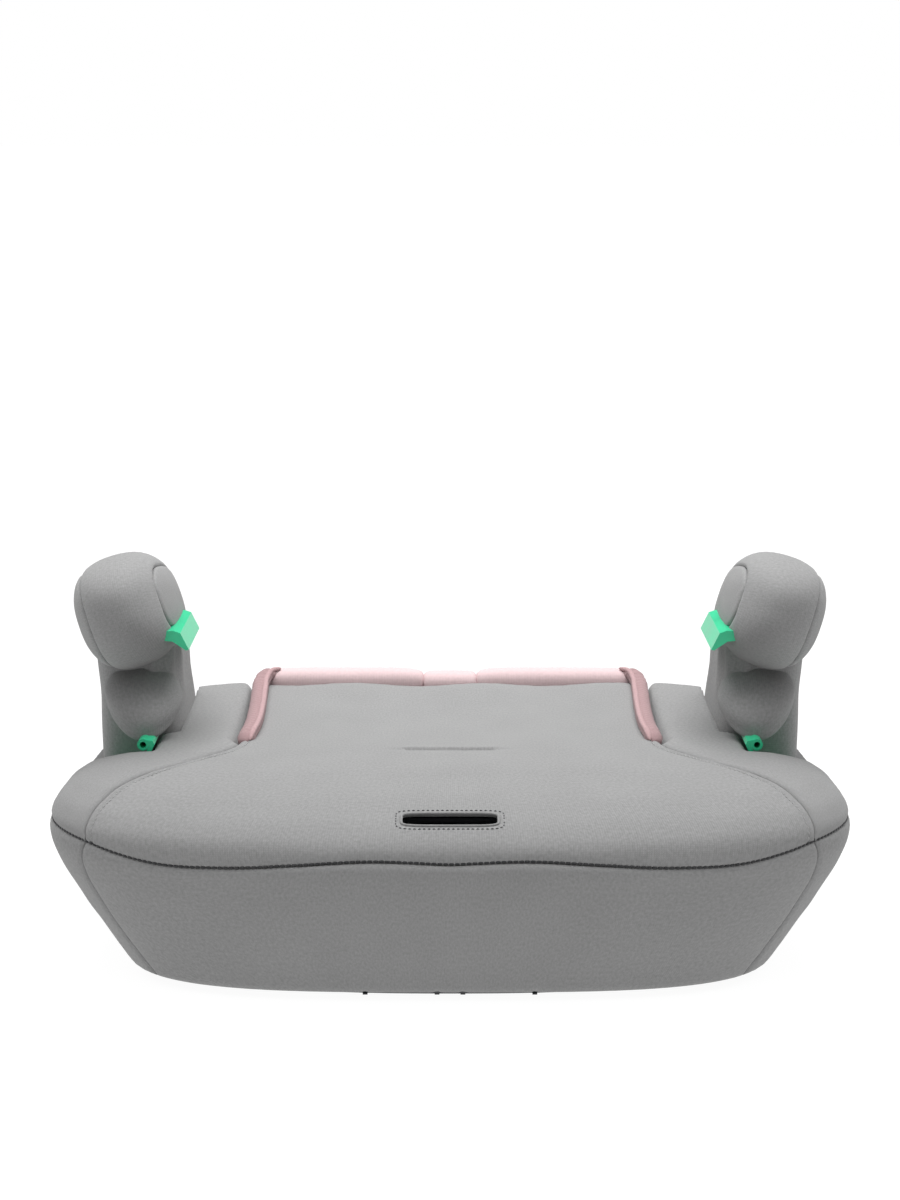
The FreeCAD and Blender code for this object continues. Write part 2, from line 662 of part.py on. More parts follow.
def base_screw(x, y):
    shank = Part.makeCylinder(SCREW_RADIUS, 18, V(x, y, BASE_BOTTOM), Z_AXIS)
    head = Part.makeCylinder(SCREW_HEAD_RADIUS, 1.6, V(x, y, BASE_BOTTOM), Z_AXIS)
    return shank.fuse(head)


def build_slot():
    save("strap_slot_bezel", slot_bezel_block().cut([slot_hole(), slot_bar()]))
    save("strap_slot_bar", slot_bar())


def throat_cut():
    """The open-ended slot that takes the anchor bar, with a flared mouth."""
    back = ARM_REAR_Y + 10
    tube = Part.makeCylinder(THROAT_RADIUS, FAR, V(0, ANCHOR_Y, ANCHOR_Z), X_AXIS)
    slot = box((0, ANCHOR_Y, ANCHOR_Z - THROAT_RADIUS), (FAR, back, ANCHOR_Z + THROAT_RADIUS))
    flare = prism_yz([(ARM_REAR_Y - 5, ANCHOR_Z - THROAT_RADIUS), (back, ANCHOR_Z - 14),
                      (back, ANCHOR_Z + 14), (ARM_REAR_Y - 5, ANCHOR_Z + THROAT_RADIUS)], 0, FAR)
    return tube.fuse([slot, flare])


def latch_arm():
    low_z = LATCH_Z - ARM_HEIGHT / 2
    high_z = LATCH_Z + ARM_HEIGHT / 2
    arm = box((LATCH_X - ARM_WIDTH / 2, ARM_FRONT_Y, low_z), (LATCH_X + ARM_WIDTH / 2, ARM_REAR_Y, high_z))
    gap = box((LATCH_X - CHEEK_GAP / 2, CHEEK_FRONT_Y, 0), (LATCH_X + CHEEK_GAP / 2, FAR, FAR))
    pin = jaw_pin()
    return arm.cut([gap, throat_cut(), pin])


def jaw_pin():
    length = ARM_WIDTH + 4
    return Part.makeCylinder(JAW_PIN_RADIUS, length, V(LATCH_X - length / 2, JAW_PIVOT_Y, JAW_PIVOT_Z), X_AXIS)


def latch_jaw():
    low_x = LATCH_X - JAW_THICKNESS / 2
    high_x = LATCH_X + JAW_THICKNESS / 2
    plate = prism_yz(JAW_OUTLINE, low_x, high_x)
    hole = Part.makeCylinder(JAW_PIN_RADIUS + PIN_GAP, FAR, V(0, JAW_PIVOT_Y, JAW_PIVOT_Z), X_AXIS)
    return plate.cut(hole)


def latch_head():
    """The plastic housing round the arm's end, open at the mouth and over the button and the jaw."""
    half = HEAD_WIDTH / 2
    outer = rounded_box((LATCH_X - half, HEAD_FRONT_Y, HEAD_BOTTOM_Z),
                        (LATCH_X + half, HEAD_REAR_Y, HEAD_TOP_Z), 4, Y_AXIS)
    inner_half = half - HEAD_WALL
    inner = box((LATCH_X - inner_half, HEAD_FRONT_Y + HEAD_WALL, HEAD_BOTTOM_Z + HEAD_WALL),
                (LATCH_X + inner_half, HEAD_REAR_Y - HEAD_WALL, HEAD_TOP_Z - HEAD_WALL))
    arm_hole = box((LATCH_X - ARM_WIDTH / 2, 0, LATCH_Z - ARM_HEIGHT / 2),
                   (LATCH_X + ARM_WIDTH / 2, FAR, LATCH_Z + ARM_HEIGHT / 2))
    mouth = box((0, ANCHOR_Y - 6, ANCHOR_Z - 6), (FAR, FAR, ANCHOR_Z + 6))
    button_half = BUTTON_HALF_WIDTH + SLOT_GAP
    button_slot = box((LATCH_X - button_half, BUTTON_FRONT_Y - BUTTON_TRAVEL - SLOT_GAP, HEAD_TOP_Z - 6),
                      (LATCH_X + button_half, BUTTON_REAR_Y + SLOT_GAP, FAR))
    jaw_half = JAW_THICKNESS / 2 + 0.9
    jaw_slot = box((LATCH_X - jaw_half, 176, LATCH_Z), (LATCH_X + jaw_half, FAR, HEAD_TOP_Z - 1))
    return outer.cut([inner, arm_hole, mouth, button_slot, jaw_slot])


def release_button():
    """A cap that stands out of the head's roof, with a flange that holds it in."""
    cap = rounded_box((LATCH_X - BUTTON_HALF_WIDTH, BUTTON_FRONT_Y, HEAD_TOP_Z - 5),
                      (LATCH_X + BUTTON_HALF_WIDTH, BUTTON_REAR_Y, HEAD_TOP_Z + BUTTON_PROUD), 1.2)
    flange = box((LATCH_X - FLANGE_HALF_WIDTH, BUTTON_FRONT_Y + 3, HEAD_TOP_Z - 3 - FLANGE_THICKNESS),
                 (LATCH_X + FLANGE_HALF_WIDTH, BUTTON_REAR_Y - 3, HEAD_TOP_Z - 3))
    return cap.fuse(flange).removeSplitter()


def rack():
    low_z = LATCH_Z - RACK_BELOW
    high_z = LATCH_Z + RACK_ABOVE
    front = CROSSBAR_Y + CROSSBAR_SIZE / 2
    bar = box((-RACK_HALF_WIDTH, front, low_z), (RACK_HALF_WIDTH, RACK_REAR_Y, high_z))
    count = int((RACK_REAR_Y - front - RACK_PITCH) / RACK_PITCH)
    teeth = []
    for i in range(count):
        y = front + RACK_PITCH * (i + 0.5)
        outline = [(y, high_z), (y + RACK_TOOTH_FOOT, high_z), (y + RACK_TOOTH_TIP, high_z + RACK_TOOTH),
                   (y, high_z + RACK_TOOTH)]
        teeth.append(prism_yz(outline, -RACK_HALF_WIDTH, RACK_HALF_WIDTH))
    return bar.fuse(teeth)


def crossbar():
    half_length = LATCH_X - ARM_WIDTH / 2
    half = CROSSBAR_SIZE / 2
    hollow = half - CROSSBAR_WALL
    outer = box((-half_length, CROSSBAR_Y - half, LATCH_Z - CROSSBAR_BELOW),
                (half_length, CROSSBAR_Y + half, LATCH_Z + CROSSBAR_ABOVE))
    inner = box((-half_length, CROSSBAR_Y - hollow, LATCH_Z - CROSSBAR_BELOW + CROSSBAR_WALL),
                (half_length, CROSSBAR_Y + hollow, LATCH_Z + CROSSBAR_ABOVE - CROSSBAR_WALL))
    return outer.cut(inner)


def arm_guide():
    """A sleeve on a foot, which one latch arm slides through."""
    low_z = LATCH_Z - ARM_HEIGHT / 2
    high_z = LATCH_Z + ARM_HEIGHT / 2
    gap = ARM_WIDTH / 2 + RUNNING_GAP
    inner_x = LATCH_X - ARM_GUIDE_HALF_WIDTH
    block = box((inner_x, ARM_GUIDE_FRONT_Y, low_z - ARM_GUIDE_WALL),
                (LATCH_X + ARM_GUIDE_HALF_WIDTH, ARM_GUIDE_REAR_Y, high_z + ARM_GUIDE_WALL))
    foot = box((inner_x, ARM_GUIDE_FRONT_Y, TRAY_TOP_Z),
               (inner_x + ARM_GUIDE_FOOT_WIDTH, ARM_GUIDE_REAR_Y, low_z - ARM_GUIDE_WALL))
    hole = box((LATCH_X - gap, 0, low_z - RUNNING_GAP), (LATCH_X + gap, FAR, high_z + RUNNING_GAP))
    return block.fuse(foot).cut(hole).removeSplitter()


def pawl():
    """The lever whose tooth drops into the rack, drawn lifted just clear of it."""
    tip_z = LATCH_Z + RACK_ABOVE + RACK_TOOTH + PAWL_LIFTED_GAP
    front_y = PAWL_TOOTH_Y - 2
    rear_y = PAWL_PIVOT_Y + PAWL_ROUND
    outline = [(front_y, tip_z), (front_y + 5, tip_z), (front_y + 9, tip_z + 5),
               (rear_y, PAWL_PIVOT_Z - PAWL_ROUND + 1), (rear_y, PAWL_PIVOT_Z + PAWL_ROUND),
               (front_y, tip_z + PAWL_DEPTH)]
    plate = prism_yz(outline, -PAWL_HALF_WIDTH, PAWL_HALF_WIDTH)
    length = 4 * PAWL_HALF_WIDTH
    start = V(-length / 2, PAWL_PIVOT_Y, PAWL_PIVOT_Z)
    return plate.cut(Part.makeCylinder(PAWL_PIN_RADIUS + PIN_GAP, length, start, X_AXIS))


def pawl_pin():
    half_length = BRACKET_INNER_X + BRACKET_WALL + 1
    start = V(-half_length, PAWL_PIVOT_Y, PAWL_PIVOT_Z)
    return Part.makeCylinder(PAWL_PIN_RADIUS, 2 * half_length, start, X_AXIS)


def pawl_bracket():
    """The two ears under the seat shell that carry the pawl's pin."""
    outer_x = BRACKET_INNER_X + BRACKET_WALL
    front_y = PAWL_PIVOT_Y - BRACKET_HALF_LENGTH
    rear_y = PAWL_PIVOT_Y + BRACKET_HALF_LENGTH
    ear = box((BRACKET_INNER_X, front_y, PAWL_PIVOT_Z - BRACKET_HALF_LENGTH), (outer_x, rear_y, BRACKET_TOP_Z))
    bridge = box((-outer_x, front_y, BRACKET_TOP_Z), (outer_x, rear_y, BRACKET_TOP_Z + BRACKET_BRIDGE))
    return bridge.fuse([ear, mirrored(ear)]).cut(pawl_pin()).removeSplitter()


def grip():
    bar = rounded_box((-GRIP_HALF_LENGTH, GRIP_Y - GRIP_HALF_DEPTH, GRIP_BOTTOM_Z),
                      (GRIP_HALF_LENGTH, GRIP_Y + GRIP_HALF_DEPTH, GRIP_TOP_Z), GRIP_ROUND)
    web = box((-WEB_HALF_LENGTH, GRIP_Y - WEB_HALF_DEPTH, GRIP_TOP_Z - 4),
              (WEB_HALF_LENGTH, GRIP_Y + WEB_HALF_DEPTH, WEB_TOP_Z))
    return bar.fuse(web).removeSplitter()


def pull_rod():
    """The flat rod from the grip up and back to the pawl."""
    half = ROD_THICKNESS / 2
    upright = box((-ROD_HALF_WIDTH, GRIP_Y - half, WEB_TOP_Z), (ROD_HALF_WIDTH, GRIP_Y + half, ROD_TOP_Z))
    run = box((-ROD_HALF_WIDTH, GRIP_Y + half, ROD_TOP_Z - ROD_THICKNESS),
              (ROD_HALF_WIDTH, PAWL_TOOTH_Y - 5, ROD_TOP_Z))
    return upright.fuse(run).removeSplitter()


def build_latches():
    save_pair("latch_arm", latch_arm())
    save_pair("latch_jaw", latch_jaw())
    save_pair("latch_jaw_pin", jaw_pin())
    save_pair("latch_head", latch_head())
    save_pair("latch_release_button", release_button())
    save_pair("latch_arm_guide", arm_guide())
    save("latch_crossbar", crossbar())
    save("latch_rack", rack())
    save("lock_pawl", pawl())
    save("lock_pawl_pin", pawl_pin())
    save("lock_pawl_bracket", pawl_bracket())
    save("adjust_grip", grip())
    save("adjust_pull_rod", pull_rod())


def main():
    os.makedirs("parts", exist_ok=True)
    build_shell_and_tray()
    build_foam()
    build_cover()
    build_bolster()
    build_slot()
    build_armrest()
    build_latches()


main()
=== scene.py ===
import json
import math
from functools import partial

import bmesh
import bpy
import numpy as np
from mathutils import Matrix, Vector
from mathutils.bvhtree import BVHTree


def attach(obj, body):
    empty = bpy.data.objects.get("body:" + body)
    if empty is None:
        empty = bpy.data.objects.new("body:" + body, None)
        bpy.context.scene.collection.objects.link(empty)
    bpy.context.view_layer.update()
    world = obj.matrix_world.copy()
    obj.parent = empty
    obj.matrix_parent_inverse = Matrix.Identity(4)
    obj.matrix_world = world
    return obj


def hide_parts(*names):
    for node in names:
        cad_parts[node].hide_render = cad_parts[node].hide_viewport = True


# Backless booster seat.  Shapes are worked out in millimetres in the CAD's own frame, and become metres
# in their meshes.  +X is the seated child's left, -Y is the front, +Z is up.  What is made for +X is
# mirrored for -X.
MM = 0.001
MIRROR = np.array([-1.0, 1.0, 1.0])
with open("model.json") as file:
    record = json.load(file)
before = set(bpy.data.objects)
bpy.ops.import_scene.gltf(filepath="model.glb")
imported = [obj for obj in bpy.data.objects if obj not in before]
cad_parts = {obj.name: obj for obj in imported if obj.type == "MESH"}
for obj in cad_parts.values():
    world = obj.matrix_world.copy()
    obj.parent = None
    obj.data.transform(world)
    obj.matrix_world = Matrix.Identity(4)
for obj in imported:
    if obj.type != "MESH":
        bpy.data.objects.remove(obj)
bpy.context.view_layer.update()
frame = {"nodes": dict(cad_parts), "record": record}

# ---- Base: the outline that the fabric has at each height ----
POLE = np.array([0.0, -88.0])
# height, half width, reach in front of the widest line, reach behind it, squareness of the front
BASE_LEVELS = np.array([
    (-10.0, 169.0, 99.0, 233.0, 3.4),
    (2.0, 178.0, 100.5, 238.0, 3.3),
    (14.0, 187.0, 102.5, 243.0, 3.2),
    (31.0, 199.0, 107.0, 247.0, 3.0),
    (47.0, 210.5, 110.5, 249.0, 2.8),
    (62.0, 220.0, 112.0, 250.0, 2.7),
    (78.0, 225.0, 110.5, 250.0, 2.7),
    (90.0, 222.5, 101.0, 249.0, 2.7),
    (99.0, 214.0, 80.0, 246.0, 2.7),
    (105.0, 201.0, 54.0, 242.0, 2.7),
    (108.0, 186.0, 30.0, 236.0, 2.7),
])
BASE_TOP = 108.0
BASE_BOTTOM = 2.0
WIDEST_Z = 78.0
REAR_SQUARENESS = 10.0
REAR_TAPER = 0.065
# Heights down the wall, closest together at the rim
PROFILE_HEIGHTS = BASE_TOP - (BASE_TOP - BASE_BOTTOM) * np.linspace(0.0, 1.0, 90) ** 2
CROWN = 2.6
SEAT_DIP = 5.0
SEAT_DIP_CENTRE = (0.0, 30.0)
SEAT_DIP_SIZE = (95.0, 70.0)
REAR_RISE = 2.5
REAR_RISE_Y = (80.0, 134.0)
REAR_RISE_X = (110.0, 150.0)
BASE_INSIDE = np.array([0.0, -20.0, 50.0])

# ---- Shoulder for the armrest, and the belt valley in front of it ----
SHOULDER_Z = 82.0
VALLEY_Y = (-56.0, -44.0)
VALLEY_X = (168.0, 186.0)
POST_WALL_X = (161.0, 167.0)
POST_WALL_Y = (-8.0, 2.0)

# ---- Seams: angles are about the pole in plan, in degrees, with -90 at the front ----
FRONT_SEAM = np.array([
    (-90.0, 78.6), (-65.0, 79.6), (-52.0, 77.4), (-40.0, 74.8), (-30.0, 74.6), (-24.0, 77.6),
    (-19.0, 80.6), (-12.0, 83.0), (0.0, 83.4), (20.0, 81.0), (60.0, 78.0), (90.0, 78.0),
])
CORNER_ANGLE = -19.0
# Where the seam between the front and the side skirt runs: height, angle
SKIRT_SEAM = np.array([(0.0, -24.0), (20.0, -21.5), (45.0, -19.0), (65.0, -18.0), (81.0, -19.0)])
REAR_CORNER_ANGLE = 49.0
WING_REAR_ANGLE = 61.5
SKIRT_REAR_ANGLE = 57.5
HEM_Z = 4.0
SKIRT_MIDDLE_Z = 60.0
# The wing seam in plan, from the front corner to the hip
WING_SEAM = [(193.0, -138.0), (181.0, -119.0), (160.0, -95.0), (147.0, -78.0), (125.0, -42.0), (121.5, -17.0)]
HIP_X = 122.0
HIP_SINK = 10.0
PANEL_REAR_Y = 134.0
TOPSTITCH_OFFSET = 6.0
HEM_NOTCH_X = (7.0, 46.0)

# The closed strap slit in the middle of the seat, and the extra rows of points that draw it
SLIT_Y = -53.0
SLIT_LENGTH = 50.0
SLIT_ROWS = np.array([-4.0, -2.6, -1.6, -0.8, 0.0, 0.8, 1.6, 2.6, 4.0])

# The open strap slot in the front slope
SLOT_CENTRE = np.array([0.0, -170.0, 97.4])
SLOT_SLOPE = math.radians(19.0)
SLOT_HALF_LENGTH = 25.5
SLOT_HALF_WIDTH = 5.8
SLOT_FORWARD = 3.2
SLOT_CUT_DEPTH = 14.0
SLOT_SEARCH_HEIGHT = 6.0
SLOT_BORDER = 3.6
SLOT_POINTS = 120

# ---- Fabric ----
FABRIC_THICKNESS = 2.0
SEAM_DEPTH = 2.2
SEAM_WIDTH = 5.0
SEAM_THREAD_DEPTH = 1.5
FINE_STEPS = (0.0, 0.6, 1.2, 2.0, 3.0, 4.2, 5.2, 6.0, 6.8, 8.2)
CLOTH_SPACING = 9.0
CLOTH_FRAMES = 20
CLOTH_SETTINGS = {
    "quality": 6, "mass": 0.2, "tension_stiffness": 12.0, "compression_stiffness": 12.0,
    "shear_stiffness": 4.0, "bending_stiffness": 0.4, "air_damping": 2.0, "use_pressure": True,
    "uniform_pressure_force": 4.0,
}
# How full the padded pieces are
BASE_FILL = 0.7
ARMREST_FILL = 0.8
POST_FILL = 0.6
# Pitch, length and radius of the stitches
TOPSTITCH = (3.2, 2.3, 0.32)
BORDER_STITCH = (2.6, 1.8, 0.28)
RIM_STITCH = (3.1, 2.9, 0.75)
ALL_SIDES = ("u0", "u1", "v0", "v1")
WELD_DISTANCE = 2e-6

# ---- Armrest ----
BAR_CENTRE = np.array([192.0, 38.0, 174.5])
BAR_HALF = (29.0, 100.0, 34.5)
BAR_LEAN = math.radians(18.0)
BAR_RISE = math.radians(8.0)
BAR_SIDE_SQUARENESS = 2.6
BAR_ROUND_SQUARENESS = 2.4
BAR_SEAMS_X = (-25.0, 16.5)
BAR_ROUND_LENGTH = 440.0
POST_CENTRE = (184.0, 62.0)
POST_Z = (80.0, 158.0)
POST_HALF_WIDTH = (23.5, 26.0)
POST_HALF_DEPTH = 63.0
POST_SQUARENESS = 5.0
POST_FOLD_Z = (112.0, 145.0)
HORN_CENTRE = np.array([181.0, -7.0, 130.5])
HORN_HALF = (23.0, 31.0, 13.0)
HORN_SQUARENESS = 2.3
HORN_HEM_TURN = math.radians(215.0)

# ---- Rear bolster and the binding along the hips ----
BOLSTER_Y = 143.5
BOLSTER_HALF_DEPTH = 11.5
BOLSTER_BOTTOM_Z = 98.0
# name, low x, high x, top
BOLSTER_SECTIONS = (("rear_bolster_left", 17.0, 118.0, 118.5), ("rear_bolster_middle", -17.0, 17.0, 116.5))
BINDING_PATH = [(120.5, -31.0, 106.5), (119.5, -24.0, 109.0), (118.0, 0.0, 110.0), (118.5, 60.0, 110.0),
                (120.0, 108.0, 111.0), (120.0, 126.0, 113.0), (117.5, 136.0, 115.3), (112.0, 141.0, 116.0)]
BINDING_HALF = (5.2, 4.0)
BEAD_HALF = (1.7, 1.7)
BEAD_SHIFT = np.array([-3.4, 0.0, 2.9])
BINDING_LENGTH = 190.0
BINDING_RIPPLE = 6.5
BINDING_TIP = 0.04

# ---- Colours, and the knit's loops in metres ----
GREY = (0.250, 0.250, 0.250)
PINK = (0.64, 0.49, 0.50)
BINDING_PINK = (0.33, 0.215, 0.221)
WALE = 1.25 * MM
COURSE = 0.95 * MM

# ---- Camera: place in metres, downward pitch, lens and sensor in millimetres ----
CAMERA_AT = (0.0, -1.6469, 0.4662)
CAMERA_PITCH_DEG = 13.16
CAMERA_LENS = 84.9
CAMERA_SENSOR = 36.0
CAMERA_SHIFT = 0.146
FLOOR_HALF = 40.0

# ---- Light, in metres and watts ----
SOFTBOX_AT = (0.0, 0.30, 1.25)
SOFTBOX_SIZE = (1.3, 0.9)
SOFTBOX_TILT_DEG = -17.0
SOFTBOX_POWER = 20.0
# Where the sky's brightness changes with the height of the direction, and to what
SKY = ((0.14, 0.06), (0.45, 0.22), (0.75, 1.0))


# ======== small helpers

def smoothstep(value, start, end):
    t = np.clip((value - start) / (end - start), 0.0, 1.0)
    return t * t * (3 - 2 * t)


def swing(turn, squareness):
    """The reach of a unit superellipse in each direction."""
    return (np.abs(np.cos(turn)) ** squareness + np.abs(np.sin(turn)) ** squareness) ** (-1 / squareness)


def bump_at(value, place, width):
    """A smooth bell of height 1 about a place."""
    return np.exp(-((value - place) / width) ** 2)


def linked(name, data):
    """A new object in the scene."""
    made = bpy.data.objects.new(name, data)
    bpy.context.scene.collection.objects.link(made)
    return made


def mesh_of(name, points, faces):
    """A mesh in metres, from points in millimetres."""
    mesh = bpy.data.meshes.new(name)
    mesh.from_pydata((points.reshape(-1, 3) * MM).tolist(), [], faces)
    return mesh


def run_along(points):
    """The length up to each point of a line, or of each line down a grid."""
    steps = np.linalg.norm(np.diff(points, axis=0), axis=-1)
    return np.concatenate([np.zeros_like(steps[:1]), np.cumsum(steps, axis=0)])


def unit(vectors):
    length = np.linalg.norm(vectors, axis=-1, keepdims=True)
    return vectors / np.maximum(length, 1e-9)


def smooth_table(table, where):
    """The columns of a table at any keys, by cubic interpolation between its rows."""
    keys = table[:, 0]
    slopes = np.gradient(table[:, 1:], keys, axis=0)
    spot = np.clip(np.searchsorted(keys, where) - 1, 0, len(keys) - 2)
    step = (keys[spot + 1] - keys[spot])[..., None]
    t = (where - keys[spot])[..., None] / step
    start = (2 * t ** 3 - 3 * t ** 2 + 1) * table[spot, 1:] + (t ** 3 - 2 * t ** 2 + t) * step * slopes[spot]
    end = (3 * t ** 2 - 2 * t ** 3) * table[spot + 1, 1:] + (t ** 3 - t ** 2) * step * slopes[spot + 1]
    return start + end


def curve(points):
    """A smooth line through points, as a function of the share of its length."""
    points = np.array(points, float)
    run = run_along(points)
    table = np.column_stack([run / run[-1], points])
    return lambda share: smooth_table(table, np.asarray(share, float))


def stations(length, spacing, fine_start=False, fine_end=False):
    """Shares of a length, closer together at the ends that are seams."""
    start = [s for s in FINE_STEPS if fine_start] or [0.0]
    end = [length - s for s in FINE_STEPS[::-1] if fine_end] or [length]
    count = max(2, int(round((end[0] - start[-1]) / spacing)))
    middle = np.linspace(start[-1], end[0], count + 1)[1:-1]
    return np.concatenate([start, middle, end]) / length


# ======== base surface

def contour_radius(angle, z):
    """How far the base reaches from its pole at a height, in a direction in plan."""
    levels = smooth_table(BASE_LEVELS, z)
    half_width, front, rear, front_squareness = (levels[..., k] for k in range(4))
    across = np.abs(np.cos(angle))
    along = np.abs(np.sin(angle))
    behind = np.sin(angle) > 0
    squareness = np.where(behind, REAR_SQUARENESS, front_squareness)
    reach = np.where(behind, rear, front)
    taper = 1.0
    for _ in range(5):
        norm = (across / (half_width * taper)) ** squareness + (along / reach) ** squareness
        radius = norm ** (-1 / squareness)
        taper = np.where(behind, 1 - REAR_TAPER * radius * along / reach, 1.0)
    return radius


def profile(angle):
    """For each direction, the base's reach at each profile height, and the length of surface down to it."""
    radii = contour_radius(angle[:, None], PROFILE_HEIGHTS[None, :])
    steps = np.hypot(np.diff(radii, axis=1), np.diff(PROFILE_HEIGHTS))
    lengths = np.concatenate([np.zeros((len(angle), 1)), np.cumsum(steps, axis=1)], axis=1)
    return radii, lengths


def seat_height(x, y, inwards):
    """The top of the seat inside the rim: a light crown with a dip where the child sits."""
    dip = SEAT_DIP * (bump_at(x, SEAT_DIP_CENTRE[0], SEAT_DIP_SIZE[0])
                      * bump_at(y, SEAT_DIP_CENTRE[1], SEAT_DIP_SIZE[1]))
    wave = 1 + 0.4 * np.sin(x / 13.0)
    rear_rise = REAR_RISE * wave * smoothstep(y, *REAR_RISE_Y) * (1 - smoothstep(np.abs(x), *REAR_RISE_X))
    return BASE_TOP + CROWN * (1 - inwards ** 2) - dip + rear_rise


def for_armrest(points):
    """Lowers the wing to the shoulder, beside the armrest and in the belt valley in front of it."""
    x = np.abs(points[:, 0])
    y = points[:, 1]
    beside = smoothstep(y, *POST_WALL_Y)
    top_x = VALLEY_X[0] + (POST_WALL_X[0] - VALLEY_X[0]) * beside
    foot_x = VALLEY_X[1] + (POST_WALL_X[1] - VALLEY_X[1]) * beside
    share = smoothstep(x, top_x, foot_x) * smoothstep(y, *VALLEY_Y)
    lowered = points.copy()
    lowered[:, 2] -= share * np.clip(points[:, 2] - SHOULDER_Z, 0.0, None)
    return lowered


def raise_flat(flat):
    """The base's surface, from the plan that its fabric would have if rolled out flat round the rim."""
    away = flat - POLE
    reach = np.hypot(away[:, 0], away[:, 1])
    angle = np.arctan2(away[:, 1], away[:, 0])
    radii, lengths = profile(angle)
    beyond = np.clip(reach - radii[:, 0], 0.0, None)
    row = np.arange(len(flat))
    spot = np.clip((lengths <= beyond[:, None]).sum(axis=1) - 1, 0, len(PROFILE_HEIGHTS) - 2)
    share = (beyond - lengths[row, spot]) / (lengths[row, spot + 1] - lengths[row, spot])
    radius = radii[row, spot] + share * (radii[row, spot + 1] - radii[row, spot])
    height = PROFILE_HEIGHTS[spot] + share * (PROFILE_HEIGHTS[spot + 1] - PROFILE_HEIGHTS[spot])
    inside = beyond <= 0
    radius = np.where(inside, reach, radius)
    x = POLE[0] + radius * np.cos(angle)
    y = POLE[1] + radius * np.sin(angle)
    inwards = np.clip(reach / radii[:, 0], 0.0, 1.0)
    rim_height = seat_height(x, y, np.ones_like(x)) - BASE_TOP
    outside_height = height + rim_height * np.exp(-beyond / 8.0)
    return np.column_stack([x, y, np.where(inside, seat_height(x, y, inwards), outside_height)])


def flat_at(angle_deg, z):
    """The rolled-out place of the point at a direction and a height on the outside of the base."""
    angle = np.atleast_1d(np.radians(angle_deg)).astype(float)
    z = np.broadcast_to(np.asarray(z, float), angle.shape)
    radii, lengths = profile(angle)
    out = [radii[i, 0] + np.interp(z[i], PROFILE_HEIGHTS[::-1], lengths[i, ::-1]) for i in range(len(angle))]
    return POLE + np.column_stack([np.cos(angle), np.sin(angle)]) * np.array(out)[:, None]


def flat_of(points):
    """The rolled-out place of points given in plan, on the upper side of the base."""
    places = []
    for x, y in points:
        angle = math.atan2(y - POLE[1], x - POLE[0])
        reach = math.hypot(x - POLE[0], y - POLE[1])
        radii, lengths = profile(np.array([angle]))
        upper = PROFILE_HEIGHTS >= WIDEST_Z
        if reach > radii[0, 0]:
            reach = radii[0, 0] + np.interp(reach, radii[0, upper], lengths[0, upper])
        places.append(POLE + reach * np.array([math.cos(angle), math.sin(angle)]))
    return np.array(places)


def seam_height(angle_deg):
    """The height of the seam round the base, the same on both sides of the front."""
    folded = -90.0 + np.abs(np.asarray(angle_deg, float) + 90.0)
    return smooth_table(FRONT_SEAM, folded)[..., 0]


def wall_point(angle, z):
    """Points on the outside of the base."""
    radius = contour_radius(angle, z)
    return np.column_stack([POLE[0] + radius * np.cos(angle), POLE[1] + radius * np.sin(angle), z])


# ======== grids of fabric

def blend_patch(front, rear, inner, outer):
    """The smooth patch between four curves: front and rear run along u, inner and outer run along v."""
    corner_00, corner_10 = front([0.0])[0], front([1.0])[0]
    corner_01, corner_11 = rear([0.0])[0], rear([1.0])[0]

    def place(u, v):
        a, b = u[:, None], v[:, None]
        across = (1 - b) * front(u) + b * rear(u)
        along = (1 - a) * inner(v) + a * outer(v)
        corners = ((1 - a) * (1 - b) * corner_00 + a * (1 - b) * corner_10
                   + (1 - a) * b * corner_01 + a * b * corner_11)
        return across + along - corners
    return place


def on_grid(shape, us, vs):
    u, v = np.meshgrid(us, vs, indexing="ij")
    return shape(u.ravel(), v.ravel()).reshape(len(us), len(vs), 3)


def grid_normals(grid, inside, wrap):
    """Outward unit normals of a grid, away from a point inside the object."""
    if wrap:
        ring = np.concatenate([grid[:, -2:-1], grid, grid[:, 1:2]], axis=1)
        along = np.gradient(ring, axis=1)[:, 1:-1]
    else:
        along = np.gradient(grid, axis=1)
    across = np.gradient(grid, axis=0)
    normals = unit(np.cross(across, along))
    for edge, neighbour in ((0, 1), (-1, -2)):
        weak = np.linalg.norm(along[edge], axis=-1).max() < 1e-4
        if weak:
            normals[edge] = unit(normals[neighbour].mean(axis=0))
    sign = np.sign(((grid - inside) * normals).sum(axis=-1).sum())
    return normals * sign


def cubic_weights(coarse, fine):
    """Weights that carry values at coarse, even stations to fine ones."""
    count = len(coarse)
    spot = np.clip(np.searchsorted(coarse, fine, side="right") - 1, 0, count - 2)
    t = (fine - coarse[spot]) / (coarse[spot + 1] - coarse[spot])
    parts = (-0.5 * t + t ** 2 - 0.5 * t ** 3, 1 - 2.5 * t ** 2 + 1.5 * t ** 3,
             0.5 * t + 2 * t ** 2 - 1.5 * t ** 3, -0.5 * t ** 2 + 0.5 * t ** 3)
    weights = np.zeros((len(fine), count))
    rows = np.arange(len(fine))
    for offset, part in zip((-1, 0, 1, 2), parts):
        np.add.at(weights, (rows, np.clip(spot + offset, 0, count - 1)), part)
    return weights


def edge_distance(grid, sides):
    """How far each point of a grid is, along the fabric, from the nearest of its seamed sides."""
    along_u = run_along(grid)
    along_v = run_along(grid.swapaxes(0, 1)).T
    runs = {"u0": along_u, "u1": along_u[-1:] - along_u, "v0": along_v, "v1": along_v[:, -1:] - along_v}
    return np.min([runs[side] for side in sides], axis=0)


